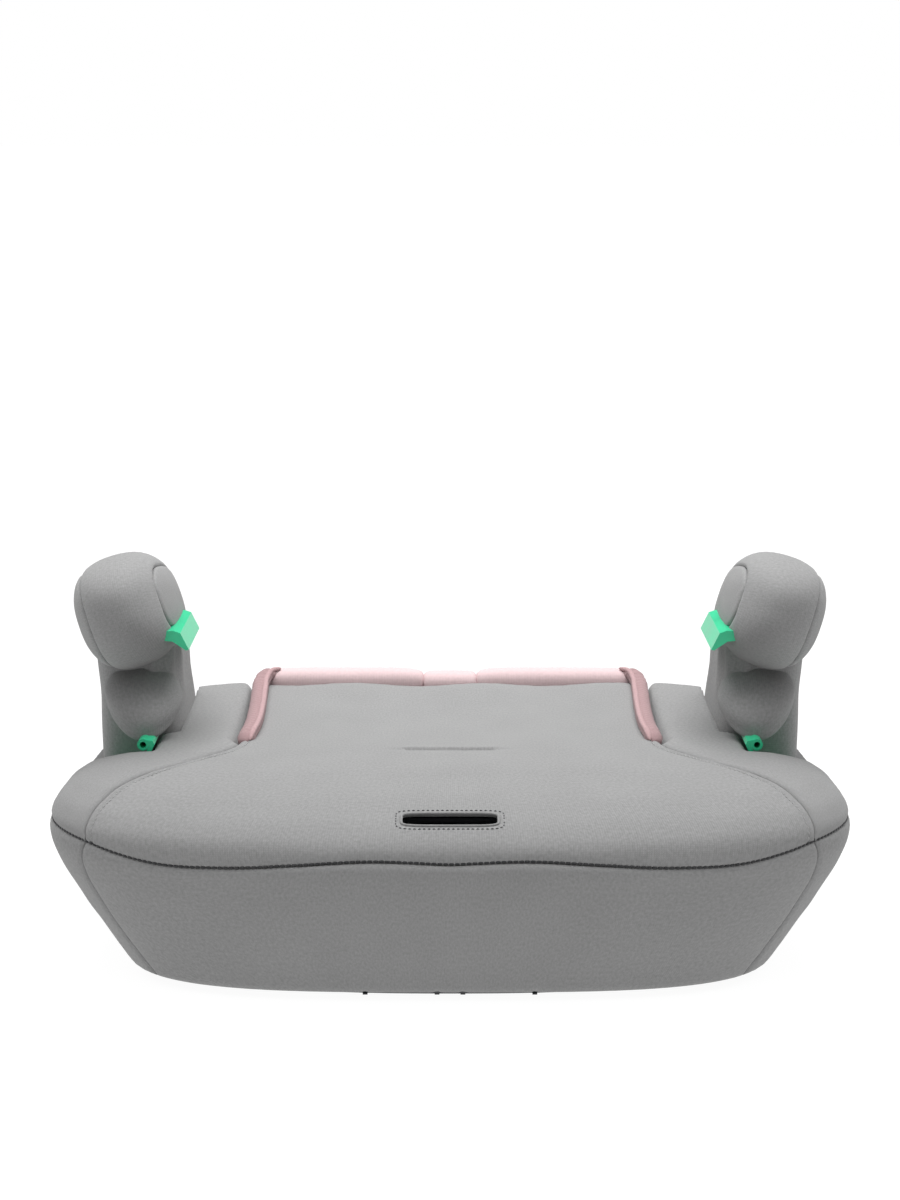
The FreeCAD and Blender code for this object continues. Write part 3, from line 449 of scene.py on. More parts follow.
def roll_edges(grid, normals, sides, depth=SEAM_DEPTH, width=SEAM_WIDTH, pucker=0.22, pitch=9.0):
    """Turns the seamed sides in, as sewn fabric does, with the small puckers that the thread draws."""
    distance = edge_distance(grid, sides)
    share = np.clip(1 - distance / width, 0.0, 1.0)
    drop = depth * (1 - np.sqrt(1 - share ** 2))
    run = grid[..., 0] * 0.8 + grid[..., 1] + grid[..., 2] * 0.6
    wave = np.sin(2 * math.pi * run / pitch) * np.sin(2 * math.pi * run / (pitch * 3.7) + 1.0)
    ripple = pucker * wave * np.exp(-distance / 7.0) * (1 - share ** 2)
    return grid + normals * (ripple - drop)[..., None]


def quads(rows, columns, offset=0, flip=False):
    """The faces of a grid of points."""
    starts = [offset + i * columns + j for i in range(rows - 1) for j in range(columns - 1)]
    faces = [(a, a + 1, a + columns + 1, a + columns) for a in starts]
    return [face[::-1] for face in faces] if flip else faces


def make_mesh(name, grid, normals, us_vs, thickness, wrap):
    """A piece of fabric from a grid in millimetres: a closed skin of some thickness, or a closed lump."""
    rows, columns = grid.shape[:2]
    count = rows * columns
    points = grid.reshape(-1, 3)
    faces = quads(rows, columns)
    if thickness:
        inner = (grid - normals * thickness).reshape(-1, 3)
        points = np.concatenate([points, inner])
        faces += quads(rows, columns, count, flip=True)
        last = count - columns
        border = [(j + 1, j) for j in range(columns - 1)]
        border += [(last + j, last + j + 1) for j in range(columns - 1)]
        if not wrap:
            border += [(i, i + columns) for i in range(0, last, columns)]
            border += [(i + columns, i) for i in range(columns - 1, last, columns)]
        faces += [(a, b, count + b, count + a) for a, b in border]
    mesh = mesh_of(name, points, faces)
    add_uv(mesh, us_vs)
    weld(mesh)
    return linked(name, mesh)


def add_uv(mesh, us_vs):
    """A flat map in metres, so that the knit runs true along each panel, outside and inside."""
    layer = mesh.uv_layers.new(name="knit")
    flat = np.concatenate([us_vs, us_vs])
    loops = np.zeros(len(mesh.loops), int)
    mesh.loops.foreach_get("vertex_index", loops)
    layer.data.foreach_set("uv", flat[loops].astype(np.float32).ravel())


def weld(mesh):
    """Joins the points of a mesh that meet, and turns its faces outwards."""
    work = bmesh.new()
    work.from_mesh(mesh)
    bmesh.ops.remove_doubles(work, verts=work.verts, dist=WELD_DISTANCE)
    bmesh.ops.recalc_face_normals(work, faces=work.faces)
    for face in work.faces:
        face.smooth = True
    work.to_mesh(mesh)
    work.free()


class Sheet:
    """A piece of fabric on a grid, with what is needed to inflate it and to make its mesh."""

    def __init__(self, name, shape, size, inside, sides, spacing=3.2, wrap=False, cap=3.0,
                 thickness=FABRIC_THICKNESS, roll=None, after=None):
        self.name, self.shape, self.size, self.inside = name, shape, size, inside
        self.sides, self.wrap, self.cap, self.thickness = sides, wrap, cap, thickness
        self.roll, self.after = roll or {}, after
        self.us = stations(size[0], spacing, "u0" in sides, "u1" in sides)
        self.vs = stations(size[1], spacing, "v0" in sides, "v1" in sides)
        self.coarse_u = np.linspace(0.0, 1.0, max(5, int(size[0] / CLOTH_SPACING)))
        self.coarse_v = np.linspace(0.0, 1.0, max(5, int(size[1] / CLOTH_SPACING)))
        self.swell = None

    def build(self, mirror=False):
        grid = on_grid(self.shape, self.us, self.vs)
        normals = grid_normals(grid, self.inside, self.wrap)
        if self.swell is not None:
            across = cubic_weights(self.coarse_u, self.us)
            along = cubic_weights(self.coarse_v, self.vs)
            lift = across @ self.swell @ along.T
            grid = grid + normals * lift[..., None]
            normals = grid_normals(grid, self.inside, self.wrap)
        if self.sides:
            grid = roll_edges(grid, normals, self.sides, **self.roll)
        if self.after:
            grid = self.after(grid, normals)
        u, v = np.meshgrid(self.us * self.size[0], self.vs * self.size[1], indexing="ij")
        us_vs = np.column_stack([u.ravel(), v.ravel()]) * MM
        name = self.name
        if mirror:
            grid = grid * MIRROR
            normals = normals * MIRROR
            name = name.replace("_left", "_right")
        return make_mesh(name, grid, normals, us_vs, self.thickness, self.wrap)


# ======== cloth

def cloth_object(sheet):
    """A coarse copy of a sheet with a Cloth modifier, pinned along its seams; joined says which of its
    points each grid point is, because a ring's ends and a pole's points are one."""
    grid = on_grid(sheet.shape, sheet.coarse_u, sheet.coarse_v)
    rows, columns = grid.shape[:2]
    normals = grid_normals(grid, sheet.inside, sheet.wrap)
    across = np.gradient(grid, axis=0)
    along = np.gradient(grid, axis=1)
    outward = (np.cross(along, across) * normals).sum() >= 0
    places = grid.reshape(-1, 3)
    _, first, joined = np.unique(places.round(3), axis=0, return_index=True, return_inverse=True)
    joined = joined.ravel()
    faces = [list(dict.fromkeys(joined[list(face)].tolist())) for face in quads(rows, columns, flip=outward)]
    mesh = mesh_of("cloth_work", places[first], [face for face in faces if len(face) > 2])
    piece = linked("cloth_work", mesh)
    at_seam = {"u0": lambda i, j: i == 0, "u1": lambda i, j: i == rows - 1,
               "v0": lambda i, j: j == 0, "v1": lambda i, j: j == columns - 1}
    seams = sheet.sides or ("u0", "u1")
    pinned = {int(joined[i * columns + j]) for i in range(rows) for j in range(columns)
              if any(at_seam[side](i, j) for side in seams)}
    piece.vertex_groups.new(name="seams").add(sorted(pinned), 1.0, "REPLACE")
    cloth = piece.modifiers.new("Cloth", "CLOTH")
    for key, value in CLOTH_SETTINGS.items():
        setattr(cloth.settings, key, value)
    cloth.settings.vertex_group_mass = "seams"
    cloth.settings.effector_weights.gravity = 0.0
    cloth.collision_settings.use_collision = False
    cloth.point_cache.frame_start = 1
    cloth.point_cache.frame_end = CLOTH_FRAMES
    return piece, grid, normals, joined


def inflate(sheets):
    """Runs the cloth of every sheet together, and keeps how far each swelled, up to its own cap."""
    work = [cloth_object(sheet) for sheet in sheets]
    for number in range(1, CLOTH_FRAMES + 1):
        bpy.context.scene.frame_set(number)
    graph = bpy.context.evaluated_depsgraph_get()
    for sheet, (piece, grid, normals, joined) in zip(sheets, work):
        data = piece.evaluated_get(graph).data
        moved = np.zeros(len(data.vertices) * 3, np.float32)
        data.vertices.foreach_get("co", moved)
        move = moved.reshape(-1, 3)[joined].reshape(grid.shape) / MM - grid
        lift = (move * normals).sum(axis=-1)
        sheet.swell = np.clip(lift, 0.0, None) * sheet.cap / max(sheet.cap, float(lift.max()))
    for piece, _, _, _ in work:
        bpy.data.objects.remove(piece)
    bpy.context.scene.frame_set(1)


# ======== the base's panels

def corner_flat():
    return flat_at(CORNER_ANGLE, seam_height(CORNER_ANGLE))[0]


def wing_seam_flat():
    """The wing seam, rolled out, from the front corner back to the hip and on to the rear."""
    run = flat_of(WING_SEAM + [(HIP_X, 20.0), (HIP_X, 75.0), (HIP_X, PANEL_REAR_Y)])
    return np.vstack([corner_flat(), run])


def rim_seam_flat(start_deg, end_deg, count):
    """The seam round the base, rolled out, between two directions."""
    angles = np.linspace(start_deg, end_deg, count)
    return flat_at(angles, seam_height(angles))


def slit_crease(grid, normals):
    """The closed strap slit: a shallow fold line across the middle of the seat."""
    beyond = np.clip(np.abs(grid[..., 0]) - SLIT_LENGTH / 2, 0.0, None)
    distance = np.hypot(beyond, grid[..., 1] - SLIT_Y)
    step = 0.7 * np.tanh((grid[..., 1] - SLIT_Y) / 1.2) * bump_at(distance, 0.0, 9.0)
    crease = -1.6 * bump_at(distance, 0.0, 1.1)
    return grid + normals * (crease + step)[..., None]


def topstitched(grid, normals):
    """The line that the topstitching draws into the fabric beside the wing seam, and the strap slit."""
    distance = edge_distance(grid, ("u0", "u1"))
    groove = -1.1 * bump_at(distance, TOPSTITCH_OFFSET, 0.8)
    ahead_of_hip = 1 - smoothstep(grid[..., 1], -40.0, -20.0)
    return slit_crease(grid + normals * (groove * ahead_of_hip)[..., None], normals)


def sunk_beside_binding(grid, normals):
    """The wing dips along the hip, under the binding's edge."""
    share = bump_at(grid[..., 0], HIP_X, 5.0) * smoothstep(grid[..., 1], -36.0, -22.0)
    lowered = grid.copy()
    lowered[..., 2] -= HIP_SINK * share
    return lowered


def notched_hem(grid, normals):
    """The small notches where the hem is cut for its clips."""
    lifted = grid.copy()
    near_hem = bump_at(grid[..., 2], HEM_Z, 3.0)
    for notch_x in HEM_NOTCH_X:
        lifted[..., 2] += 0.8 * near_hem * bump_at(np.abs(grid[..., 0]), notch_x, 1.6)
    return lifted


def upper_shape(front, rear, inner, outer):
    """The part of the upper surface between four rolled-out curves."""
    place = blend_patch(front, rear, inner, outer)
    return lambda u, v: for_armrest(raise_flat(place(u, v)))


def centre_panel():
    left = curve(wing_seam_flat())
    right = curve(wing_seam_flat() * MIRROR[:2])
    front = curve(rim_seam_flat(CORNER_ANGLE, -180.0 - CORNER_ANGLE, 41))
    rear = curve([(x, PANEL_REAR_Y) for x in (HIP_X, 60.0, -60.0, -HIP_X)])
    size = (395.0, 345.0)
    sheet = Sheet("seat_centre_panel", upper_shape(front, rear, left, right), size, BASE_INSIDE, ALL_SIDES,
                  cap=0.8, after=topstitched)
    slit = np.argmin(np.abs(on_grid(sheet.shape, np.array([0.5]), sheet.vs)[0, :, 1] - SLIT_Y))
    extra = sheet.vs[slit] + SLIT_ROWS / size[1]
    sheet.vs = np.unique(np.concatenate([np.delete(sheet.vs, slit), extra]))
    return sheet


def wing_panel():
    rear_inner = flat_at(WING_REAR_ANGLE, WIDEST_Z)
    inner = curve(np.vstack([wing_seam_flat()[:-1], flat_of([(HIP_X, 120.0)]), rear_inner]))
    outer = curve(rim_seam_flat(CORNER_ANGLE, REAR_CORNER_ANGLE, 60))
    rear = curve(flat_at(np.linspace(WING_REAR_ANGLE, REAR_CORNER_ANGLE, 14), WIDEST_Z))
    corner = corner_flat()

    def tip(share):
        """The front end, where both long seams meet in a point."""
        return np.repeat(corner[None, :], len(share), axis=0)
    return Sheet("seat_wing_left", upper_shape(tip, rear, inner, outer), (110.0, 360.0), BASE_INSIDE,
                 ("u0", "u1", "v1"), spacing=2.4, cap=1.2, after=sunk_beside_binding)


def skirt_shape(angle_low, angle_high):
    """A stretch of the wall under the front seam; the limits are functions of the height."""
    def shape(u, v):
        low, high = angle_low(SKIRT_MIDDLE_Z), angle_high(SKIRT_MIDDLE_Z)
        top = seam_height(low + u * (high - low))
        z = top + v * (HEM_Z - top)
        low, high = angle_low(z), angle_high(z)
        angle = np.radians(low + u * (high - low))
        return wall_point(angle, z)
    return shape


def seam_angle(z):
    """The direction of the seam between the skirts, at a height."""
    return smooth_table(SKIRT_SEAM, np.asarray(z, float))[..., 0]


def skirts():
    front_shape = skirt_shape(lambda z: -180.0 - seam_angle(z), seam_angle)
    side_shape = skirt_shape(seam_angle, lambda z: SKIRT_REAR_ANGLE)
    front = Sheet("seat_front_skirt", front_shape, (470.0, 98.0), BASE_INSIDE, ALL_SIDES, cap=1.6,
                  after=notched_hem)
    side = Sheet("seat_side_skirt_left", side_shape, (345.0, 92.0), BASE_INSIDE, ALL_SIDES, cap=1.6)
    return front, side


# ======== armrest

def lump_point(turn, x, half, end_squareness, round_squareness):
    """A point of a cushion whose poles are at its two sides: turn goes round the side outline."""
    scale = np.clip(1 - np.abs(x / half[0]) ** round_squareness, 0.0, 1.0) ** (1 / round_squareness)
    reach = scale * swing(turn, end_squareness)
    return np.column_stack([x, half[1] * reach * np.cos(turn), half[2] * reach * np.sin(turn)])


def bar_placed(points):
    """From the bar's own frame: leaned outwards at the top, with its front end raised."""
    x = points[:, 0] * math.cos(BAR_LEAN) + points[:, 2] * math.sin(BAR_LEAN)
    level = points[:, 2] * math.cos(BAR_LEAN) - points[:, 0] * math.sin(BAR_LEAN)
    y = points[:, 1] * math.cos(BAR_RISE) + level * math.sin(BAR_RISE)
    z = level * math.cos(BAR_RISE) - points[:, 1] * math.sin(BAR_RISE)
    return np.column_stack([x, y, z]) + BAR_CENTRE


def bar_sheets():
    """The armrest's bar: a strip that runs round it, between two puffy side panels."""
    inner_x, outer_x = BAR_SEAMS_X

    def lump(x, v):
        turn = 2 * math.pi * v
        return bar_placed(lump_point(turn, x, BAR_HALF, BAR_SIDE_SQUARENESS, BAR_ROUND_SQUARENESS))

    def strip(u, v):
        return lump(inner_x + (outer_x - inner_x) * u, v)

    def side(seam_x):
        def shape(u, v):
            seam_tilt = math.asin(seam_x / BAR_HALF[0])
            pole_tilt = math.copysign(math.pi / 2, seam_x)
            return lump(BAR_HALF[0] * np.sin(seam_tilt + (pole_tilt - seam_tilt) * u), v)
        return shape
    parts = (("strip", strip, 44.0, ("u0", "u1"), 2.4), ("outer_side", side(outer_x), 45.0, ("u0",), 3.0),
             ("inner_side", side(inner_x), 36.0, ("u0",), 3.0))
    return [Sheet(f"armrest_bar_{name}_left", shape, (width, BAR_ROUND_LENGTH), BAR_CENTRE, sides, wrap=True,
                  cap=cap, roll={"depth": 2.2, "width": 4.0}) for name, shape, width, sides, cap in parts]


def horn_sheet():
    """The stuffed bulge that keeps the lap belt down."""
    def shape(u, v):
        across = -np.cos(math.pi * u)
        turn = 2 * math.pi * v
        hem = 1 + 0.13 * bump_at(np.mod(turn, 2 * math.pi), HORN_HEM_TURN, 0.20)
        reach = np.clip(1 - np.abs(across) ** 1.9, 0.0, 1.0) ** 0.62 * swing(turn, HORN_SQUARENESS) * hem
        y = HORN_HALF[1] * reach * np.cos(turn)
        z = HORN_HALF[2] * reach * np.sin(turn)
        slanted = z + 0.38 * y + 3.5 * across + 2.0 * across ** 2
        return np.column_stack([HORN_HALF[0] * across, y, slanted]) + HORN_CENTRE
    return Sheet("armrest_horn_left", shape, (70.0, 140.0), HORN_CENTRE, (), spacing=2.4, wrap=True, cap=2.0,
                 thickness=0.0)


def post_sheet():
    """The cover of the armrest's post: a rounded oblong that widens towards its foot."""
    low_z, high_z = POST_Z
    narrow, wide = POST_HALF_WIDTH

    def shape(u, v):
        z = low_z + (high_z - low_z) * u
        turn = 2 * math.pi * v
        reach = swing(turn, POST_SQUARENESS)
        half_width = wide - (wide - narrow) * smoothstep(z, low_z, 150.0)
        x = POST_CENTRE[0] + 0.06 * (z - 90.0) + half_width * reach * np.cos(turn)
        y = POST_CENTRE[1] + POST_HALF_DEPTH * reach * np.sin(turn)
        return np.column_stack([x, y, z])

    def wrinkled(grid, normals):
        """The folds where the cover is drawn in under the bar."""
        turn = np.arctan2(grid[..., 1] - POST_CENTRE[1], (grid[..., 0] - POST_CENTRE[0]) * 2.5)
        folds = np.sin(11 * turn + 1.7 * np.sin(3 * turn) + 0.06 * grid[..., 2])
        return grid + normals * (1.1 * folds * smoothstep(grid[..., 2], *POST_FOLD_Z))[..., None]
    inside = np.array([*POST_CENTRE, 125.0])
    return Sheet("armrest_post_cover_left", shape, (high_z - low_z, 330.0), inside, ("u0",), wrap=True,
                 cap=1.5, roll={"depth": 1.6, "width": 4.0}, after=wrinkled)


# ======== bolster and bindings

def bolster_sheets():
    """The rear edge cushion: three sewn sections side by side."""
    sheets = []
    for name, low_x, high_x, top in BOLSTER_SECTIONS:
        half = ((high_x - low_x) / 2 + 0.3, BOLSTER_HALF_DEPTH, (top - BOLSTER_BOTTOM_Z) / 2)
        centre = np.array([(low_x + high_x) / 2, BOLSTER_Y, (top + BOLSTER_BOTTOM_Z) / 2])

        def shape(u, v, half=half, centre=centre):
            x = -half[0] * np.cos(math.pi * u)
            return lump_point(2 * math.pi * v, x, half, 2.6, 6.0) + centre
        sheets.append(Sheet(name, shape, (high_x - low_x, 70.0), centre, (), spacing=2.0, wrap=True, cap=0.8,
                            thickness=0.0))
    return sheets


def binding_sheet(name, shift, half_width, half_height):
    """A pink roll along the hip, turned up over the bolster's corner."""
    line = curve(np.array(BINDING_PATH) + shift)

    def shape(u, v):
        centre = line(u)
        ahead = unit(line(np.clip(u + 0.01, 0, 1)) - line(np.clip(u - 0.01, 0, 1)))
        side = unit(np.cross(ahead, np.array([0.0, 0.0, 1.0])))
        up = np.cross(side, ahead)
        turn = 2 * math.pi * v[:, None]
        from_end = np.minimum(np.minimum(u, 1 - u), BINDING_TIP) / BINDING_TIP
        taper = np.sqrt(np.clip(1 - (1 - from_end) ** 2, 0.02, 1.0))[:, None]
        fold = 1 - 0.12 * bump_at(np.mod(v[:, None], 1.0), 0.28, 0.03)
        ripple = 0.03 * np.sin(2 * math.pi * u[:, None] * BINDING_LENGTH / BINDING_RIPPLE)
        ring = side * half_width * np.cos(turn) + up * half_height * np.sin(turn)
        return centre + taper * (fold + ripple) * ring
    inside = np.array([HIP_X, 60.0, 110.0])
    return Sheet(name, shape, (BINDING_LENGTH, 6.0 * half_width), inside, (), spacing=1.0, wrap=True,
                 thickness=0.0)


# ======== stitches

def stitch_line(name, path, size, piece=None):
    """A row of stitches along a path in millimetres, laid on a piece's surface if one is given."""
    tree = BVHTree.FromObject(piece, bpy.context.evaluated_depsgraph_get()) if piece else None
    pitch, length, radius = size
    run = run_along(path)
    centres = np.arange(pitch / 2, run[-1] - pitch / 2, pitch)
    work = bmesh.new()
    for centre in centres:
        ends = []
        for offset in (-length / 2, 0.0, length / 2):
            spot = Vector([np.interp(centre + offset, run, path[:, k]) * MM for k in range(3)])
            if tree:
                place, normal, _, _ = tree.find_nearest(spot)
                spot = place + normal * radius * (1.1 if offset == 0.0 else -0.35) * MM
            ends.append(spot)
        add_capsule(work, ends, radius * MM)
    mesh = bpy.data.meshes.new(name)
    work.to_mesh(mesh)
    work.free()
    for polygon in mesh.polygons:
        polygon.use_smooth = True
    return linked(name, mesh)


def add_capsule(work, line, radius, sides=6):
    """A short bent thread through three points, closed at both ends."""
    start, middle, end = line
    ahead = (end - start).normalized()
    side = ahead.orthogonal().normalized()
    up = ahead.cross(side)
    stops = [(start, 0.35), (start.lerp(middle, 0.35), 1.0), (middle, 1.1), (end.lerp(middle, 0.35), 1.0),
             (end, 0.35)]
    turns = [2 * math.pi * k / sides for k in range(sides)]
    spokes = [(side * math.cos(turn) + up * math.sin(turn)) * radius for turn in turns]
    rings = [[work.verts.new(place + spoke * share) for spoke in spokes] for place, share in stops]
    for first, second in zip(rings, rings[1:]):
        for k in range(sides):
            work.faces.new((first[k], first[(k + 1) % sides], second[(k + 1) % sides], second[k]))
    work.faces.new(rings[0][::-1])
    work.faces.new(rings[-1])


# ======== materials

def new_material(name, colour, roughness, **sockets):
    """A material with its node tree and shader; further sockets are given with _ for a space."""
    material = bpy.data.materials.new(name)
    material.use_nodes = True
    shader = material.node_tree.nodes["Principled BSDF"]
    shader.inputs["Base Color"].default_value = (*colour, 1.0)
    shader.inputs["Roughness"].default_value = roughness
    for socket, value in sockets.items():
        shader.inputs[socket.replace("_", " ")].default_value = value
    return material, material.node_tree, shader


def add_node(tree, kind, inputs=None, **settings):
    made = tree.nodes.new(kind)
    for key, value in settings.items():
        setattr(made, key, value)
    for key, value in (inputs or {}).items():
        if isinstance(value, bpy.types.NodeSocket):
            tree.links.new(value, made.inputs[key])
        else:
            made.inputs[key].default_value = value
    return made


def maths(tree, operation, a, b=0.0):
    return add_node(tree, "ShaderNodeMath", {0: a, 1: b}, operation=operation).outputs[0]


def shade_between(tree, factor, dark, light):
    ramp = add_node(tree, "ShaderNodeValToRGB", {"Fac": factor})
    for stop, position, colour in zip(ramp.color_ramp.elements, (0.3, 0.7), (dark, light)):
        stop.position = position
        stop.color = (*colour, 1.0)
    return ramp.outputs["Color"]


def scaled(colour, share):
    return tuple(min(1.0, channel * share) for channel in colour)


def noise(tree, place, scale, detail, **inputs):
    return add_node(tree, "ShaderNodeTexNoise", {"Vector": place, "Scale": scale, "Detail": detail,
                                                 **inputs}).outputs["Fac"]


def object_place(tree):
    return add_node(tree, "ShaderNodeTexCoord").outputs["Object"]


def stretched(tree, place, scale):
    return add_node(tree, "ShaderNodeMapping", {"Vector": place, "Scale": scale}).outputs["Vector"]


def tint(tree, shader, factor, colour, dark, light):
    """Varies a shader's colour between two shares of it."""
    tree.links.new(shade_between(tree, factor, scaled(colour, dark), scaled(colour, light)),
                   shader.inputs["Base Color"])


def vary_gloss(tree, shader, factor, low, high):
    gloss = add_node(tree, "ShaderNodeMapRange", {"Value": factor, "To Min": low, "To Max": high})
    tree.links.new(gloss.outputs["Result"], shader.inputs["Roughness"])


def emboss(tree, shader, height, strength, distance=0.0001):
    bump = add_node(tree, "ShaderNodeBump", {"Height": height, "Strength": strength, "Distance": distance})
    tree.links.new(bump.outputs["Normal"], shader.inputs["Normal"])


def knit(name, colour, contrast=0.16):
    """A fine melange jersey: V-shaped loops in wales, flecked yarn and a soft nap."""
    material, tree, shader = new_material(name, colour, 0.92, Sheen_Weight=0.12, Sheen_Roughness=0.6,
                                          Specular_IOR_Level=0.2)
    place = add_node(tree, "ShaderNodeUVMap", uv_map="knit").outputs["UV"]
    parts = add_node(tree, "ShaderNodeSeparateXYZ", {"Vector": place})
    times = partial(maths, tree, "MULTIPLY")
    plus = partial(maths, tree, "ADD")
    across = maths(tree, "FRACT", times(parts.outputs["X"], 1 / WALE))
    slant = maths(tree, "ABSOLUTE", plus(across, -0.5))
    loop = maths(tree, "SINE", times(plus(times(parts.outputs["Y"], 1 / COURSE), slant), 2 * math.pi))
    rib = maths(tree, "POWER", times(slant, 2.0), 3.0)
    fleck = noise(tree, stretched(tree, place, (1.0, 0.8, 1.0)), 560.0, 3.0, Roughness=0.65)
    cloud = noise(tree, place, 22.0, 2.0)
    tint(tree, shader, plus(times(fleck, 0.85), times(cloud, 0.15)), colour, 1 - contrast, 1 + contrast)
    height = plus(plus(times(loop, 0.35), times(rib, -1.2)), times(fleck, 0.6))
    emboss(tree, shader, height, 0.22, 0.0002)
    return material


def thread(name, colour):
    """Twisted sewing thread."""
    material, tree, shader = new_material(name, colour, 0.7, Sheen_Weight=0.2)
    twist = noise(tree, object_place(tree), 1800.0, 2.0)
    tint(tree, shader, twist, colour, 0.8, 1.15)
    emboss(tree, shader, twist, 0.4)
    return material


def plastic(name, colour, roughness, grain=0.25):
    """Moulded plastic: a fine spark-eroded grain, and gloss that varies a little."""
    material, tree, shader = new_material(name, colour, roughness)
    place = object_place(tree)
    fine = add_node(tree, "ShaderNodeTexVoronoi", {"Vector": place, "Scale": 1500.0})
    broad = noise(tree, place, 35.0, 3.0)
    tint(tree, shader, broad, colour, 0.9, 1.1)
    vary_gloss(tree, shader, broad, roughness - 0.06, roughness + 0.08)
    emboss(tree, shader, fine.outputs["Distance"], grain)
    return material


def metal(name, colour, roughness, metallic):
    """Plated or painted steel with fine drawn lines along its length."""
    material, tree, shader = new_material(name, colour, roughness, Metallic=metallic)
    place = object_place(tree)
    lines = noise(tree, stretched(tree, place, (1.0, 0.04, 1.0)), 1600.0, 3.0)
    tint(tree, shader, noise(tree, place, 60.0, 4.0), colour, 0.85, 1.1)
    vary_gloss(tree, shader, lines, roughness - 0.08, roughness + 0.12)
    emboss(tree, shader, lines, 0.1)
    return material


MATERIALS = {
    "grey_fabric": knit("grey_knit", GREY),
    "pink_fabric": knit("pink_knit", PINK, 0.06),
    "binding": knit("binding_knit", BINDING_PINK, 0.10),
    # The bead's knit is the binding's pink made 1.3 times lighter: a painted highlight on the binding's
    # rolled edge, not a different fabric.
    "bead": knit("bead_highlight_knit", scaled(BINDING_PINK, 1.3), 0.10),
    "shell_plastic": plastic("shell_plastic", (0.012, 0.014, 0.017), 0.5),
    "guide_plastic": plastic("guide_plastic", (0.02, 0.55, 0.27), 0.3, 0.08),
    "button_plastic": plastic("button_plastic", (0.02, 0.45, 0.2), 0.32, 0.08),
    "bare_steel": metal("bare_steel", (0.6, 0.61, 0.63), 0.32, 1.0),
    "painted_steel": metal("painted_steel", (0.03, 0.03, 0.033), 0.42, 0.0),
    "rubber": plastic("rubber", (0.016, 0.016, 0.016), 0.8, 0.4),
    "foam": plastic("foam", (0.6, 0.59, 0.55), 0.9, 0.6),
    # Near-black thread for the rim seam: real stitches, made this dark as painted shade of the seam's crease.
    "seam_shade_thread": thread("seam_shade_thread", (0.02, 0.02, 0.022)),
    "border_thread": thread("border_thread", (0.075, 0.075, 0.08)),
    "grey_thread": thread("grey_thread", (0.30, 0.30, 0.30)),
}


def dress(piece, material):
    """Gives a piece its material and the seat as its body."""
    piece.data.materials.clear()
    piece.data.materials.append(MATERIALS[material])
    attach(piece, "seat")
    return piece


def paint_cad():
    """Every CAD node takes the material of its own slot."""
    for part in frame["record"]["subparts"]:
        node = frame["nodes"][part["node"]]
        node.data.materials.clear()
        node.data.materials.append(MATERIALS[part["material_slot"]])


# ======== strap slot

def slot_place(points):
    """From the slot's own plane (x across, y up the slope, z out of the fabric) to the seat."""
    x, y, z = points[:, 0], points[:, 1], points[:, 2]
    turned = np.column_stack([x, y * math.cos(SLOT_SLOPE) - z * math.sin(SLOT_SLOPE),
                              y * math.sin(SLOT_SLOPE) + z * math.cos(SLOT_SLOPE)])
    return turned + SLOT_CENTRE


def slot_outline(grow, count, squareness=7.0):
    turn = 2 * math.pi * np.arange(count) / count
    reach = swing(turn, squareness)
    return np.column_stack([(SLOT_HALF_LENGTH + grow) * reach * np.cos(turn),
                            (SLOT_HALF_WIDTH + grow) * reach * np.sin(turn) - SLOT_FORWARD])


def slot_ring(grow, count, height):
    """The slot's outline on the seat, grown by some width, at a height over the fabric."""
    return slot_place(np.column_stack([slot_outline(grow, count), np.full(count, height)]))


def cut_slot(panel):
    """Cuts the strap slot through the centre panel."""
    count = 64
    points = np.vstack([slot_ring(0.4, count, height) for height in (-SLOT_CUT_DEPTH, SLOT_CUT_DEPTH)])
    faces = [(k, (k + 1) % count, count + (k + 1) % count, count + k) for k in range(count)]
    faces += [tuple(range(count))[::-1], tuple(range(count, 2 * count))]
    cutter = linked("slot_cutter", mesh_of("slot_cutter", points, faces))
    cut = panel.modifiers.new("slot", "BOOLEAN")
    cut.object = cutter
    cut.solver = "EXACT"
    bpy.context.view_layer.objects.active = panel
    bpy.ops.object.modifier_apply(modifier="slot")
    bpy.data.objects.remove(cutter)


def slot_lip(panel):
    """The turned fabric edge round the slot."""
    tree = BVHTree.FromObject(panel, bpy.context.evaluated_depsgraph_get())
    ring = slot_ring(0.7, SLOT_POINTS, SLOT_SEARCH_HEIGHT)
    line = np.array([tree.find_nearest(Vector(point * MM))[0] for point in ring]) / MM
    for _ in range(6):
        line = 0.5 * line + 0.25 * (np.roll(line, 1, axis=0) + np.roll(line, -1, axis=0))
    return line


def ring_tube(name, line, radius, sides=10):
    """A closed tube along a closed line in millimetres."""
    ahead = unit(np.roll(line, -1, axis=0) - np.roll(line, 1, axis=0))
    out = slot_place(np.array([[0.0, 0.0, 1.0]]))[0] - SLOT_CENTRE
    side = unit(np.cross(ahead, out))
    up = np.cross(side, ahead)
    turn = 2 * math.pi * np.arange(sides)[:, None] / sides
    rings = line[:, None] + radius * (side[:, None] * np.cos(turn) + up[:, None] * np.sin(turn))
    count = len(line)
    faces = []
    for k in range(count):
        a, b = k * sides, (k + 1) % count * sides
        faces += [(a + m, a + (m + 1) % sides, b + (m + 1) % sides, b + m) for m in range(sides)]
    mesh = mesh_of(name, rings, faces)
    layer = mesh.uv_layers.new(name="knit")
    for polygon in mesh.polygons:
        polygon.use_smooth = True
        for loop, vertex in zip(polygon.loop_indices, polygon.vertices):
            layer.data[loop].uv = (vertex // sides * 1.3 * MM, vertex % sides * 0.8 * MM)
    weld(mesh)
    return linked(name, mesh)


# ======== stage

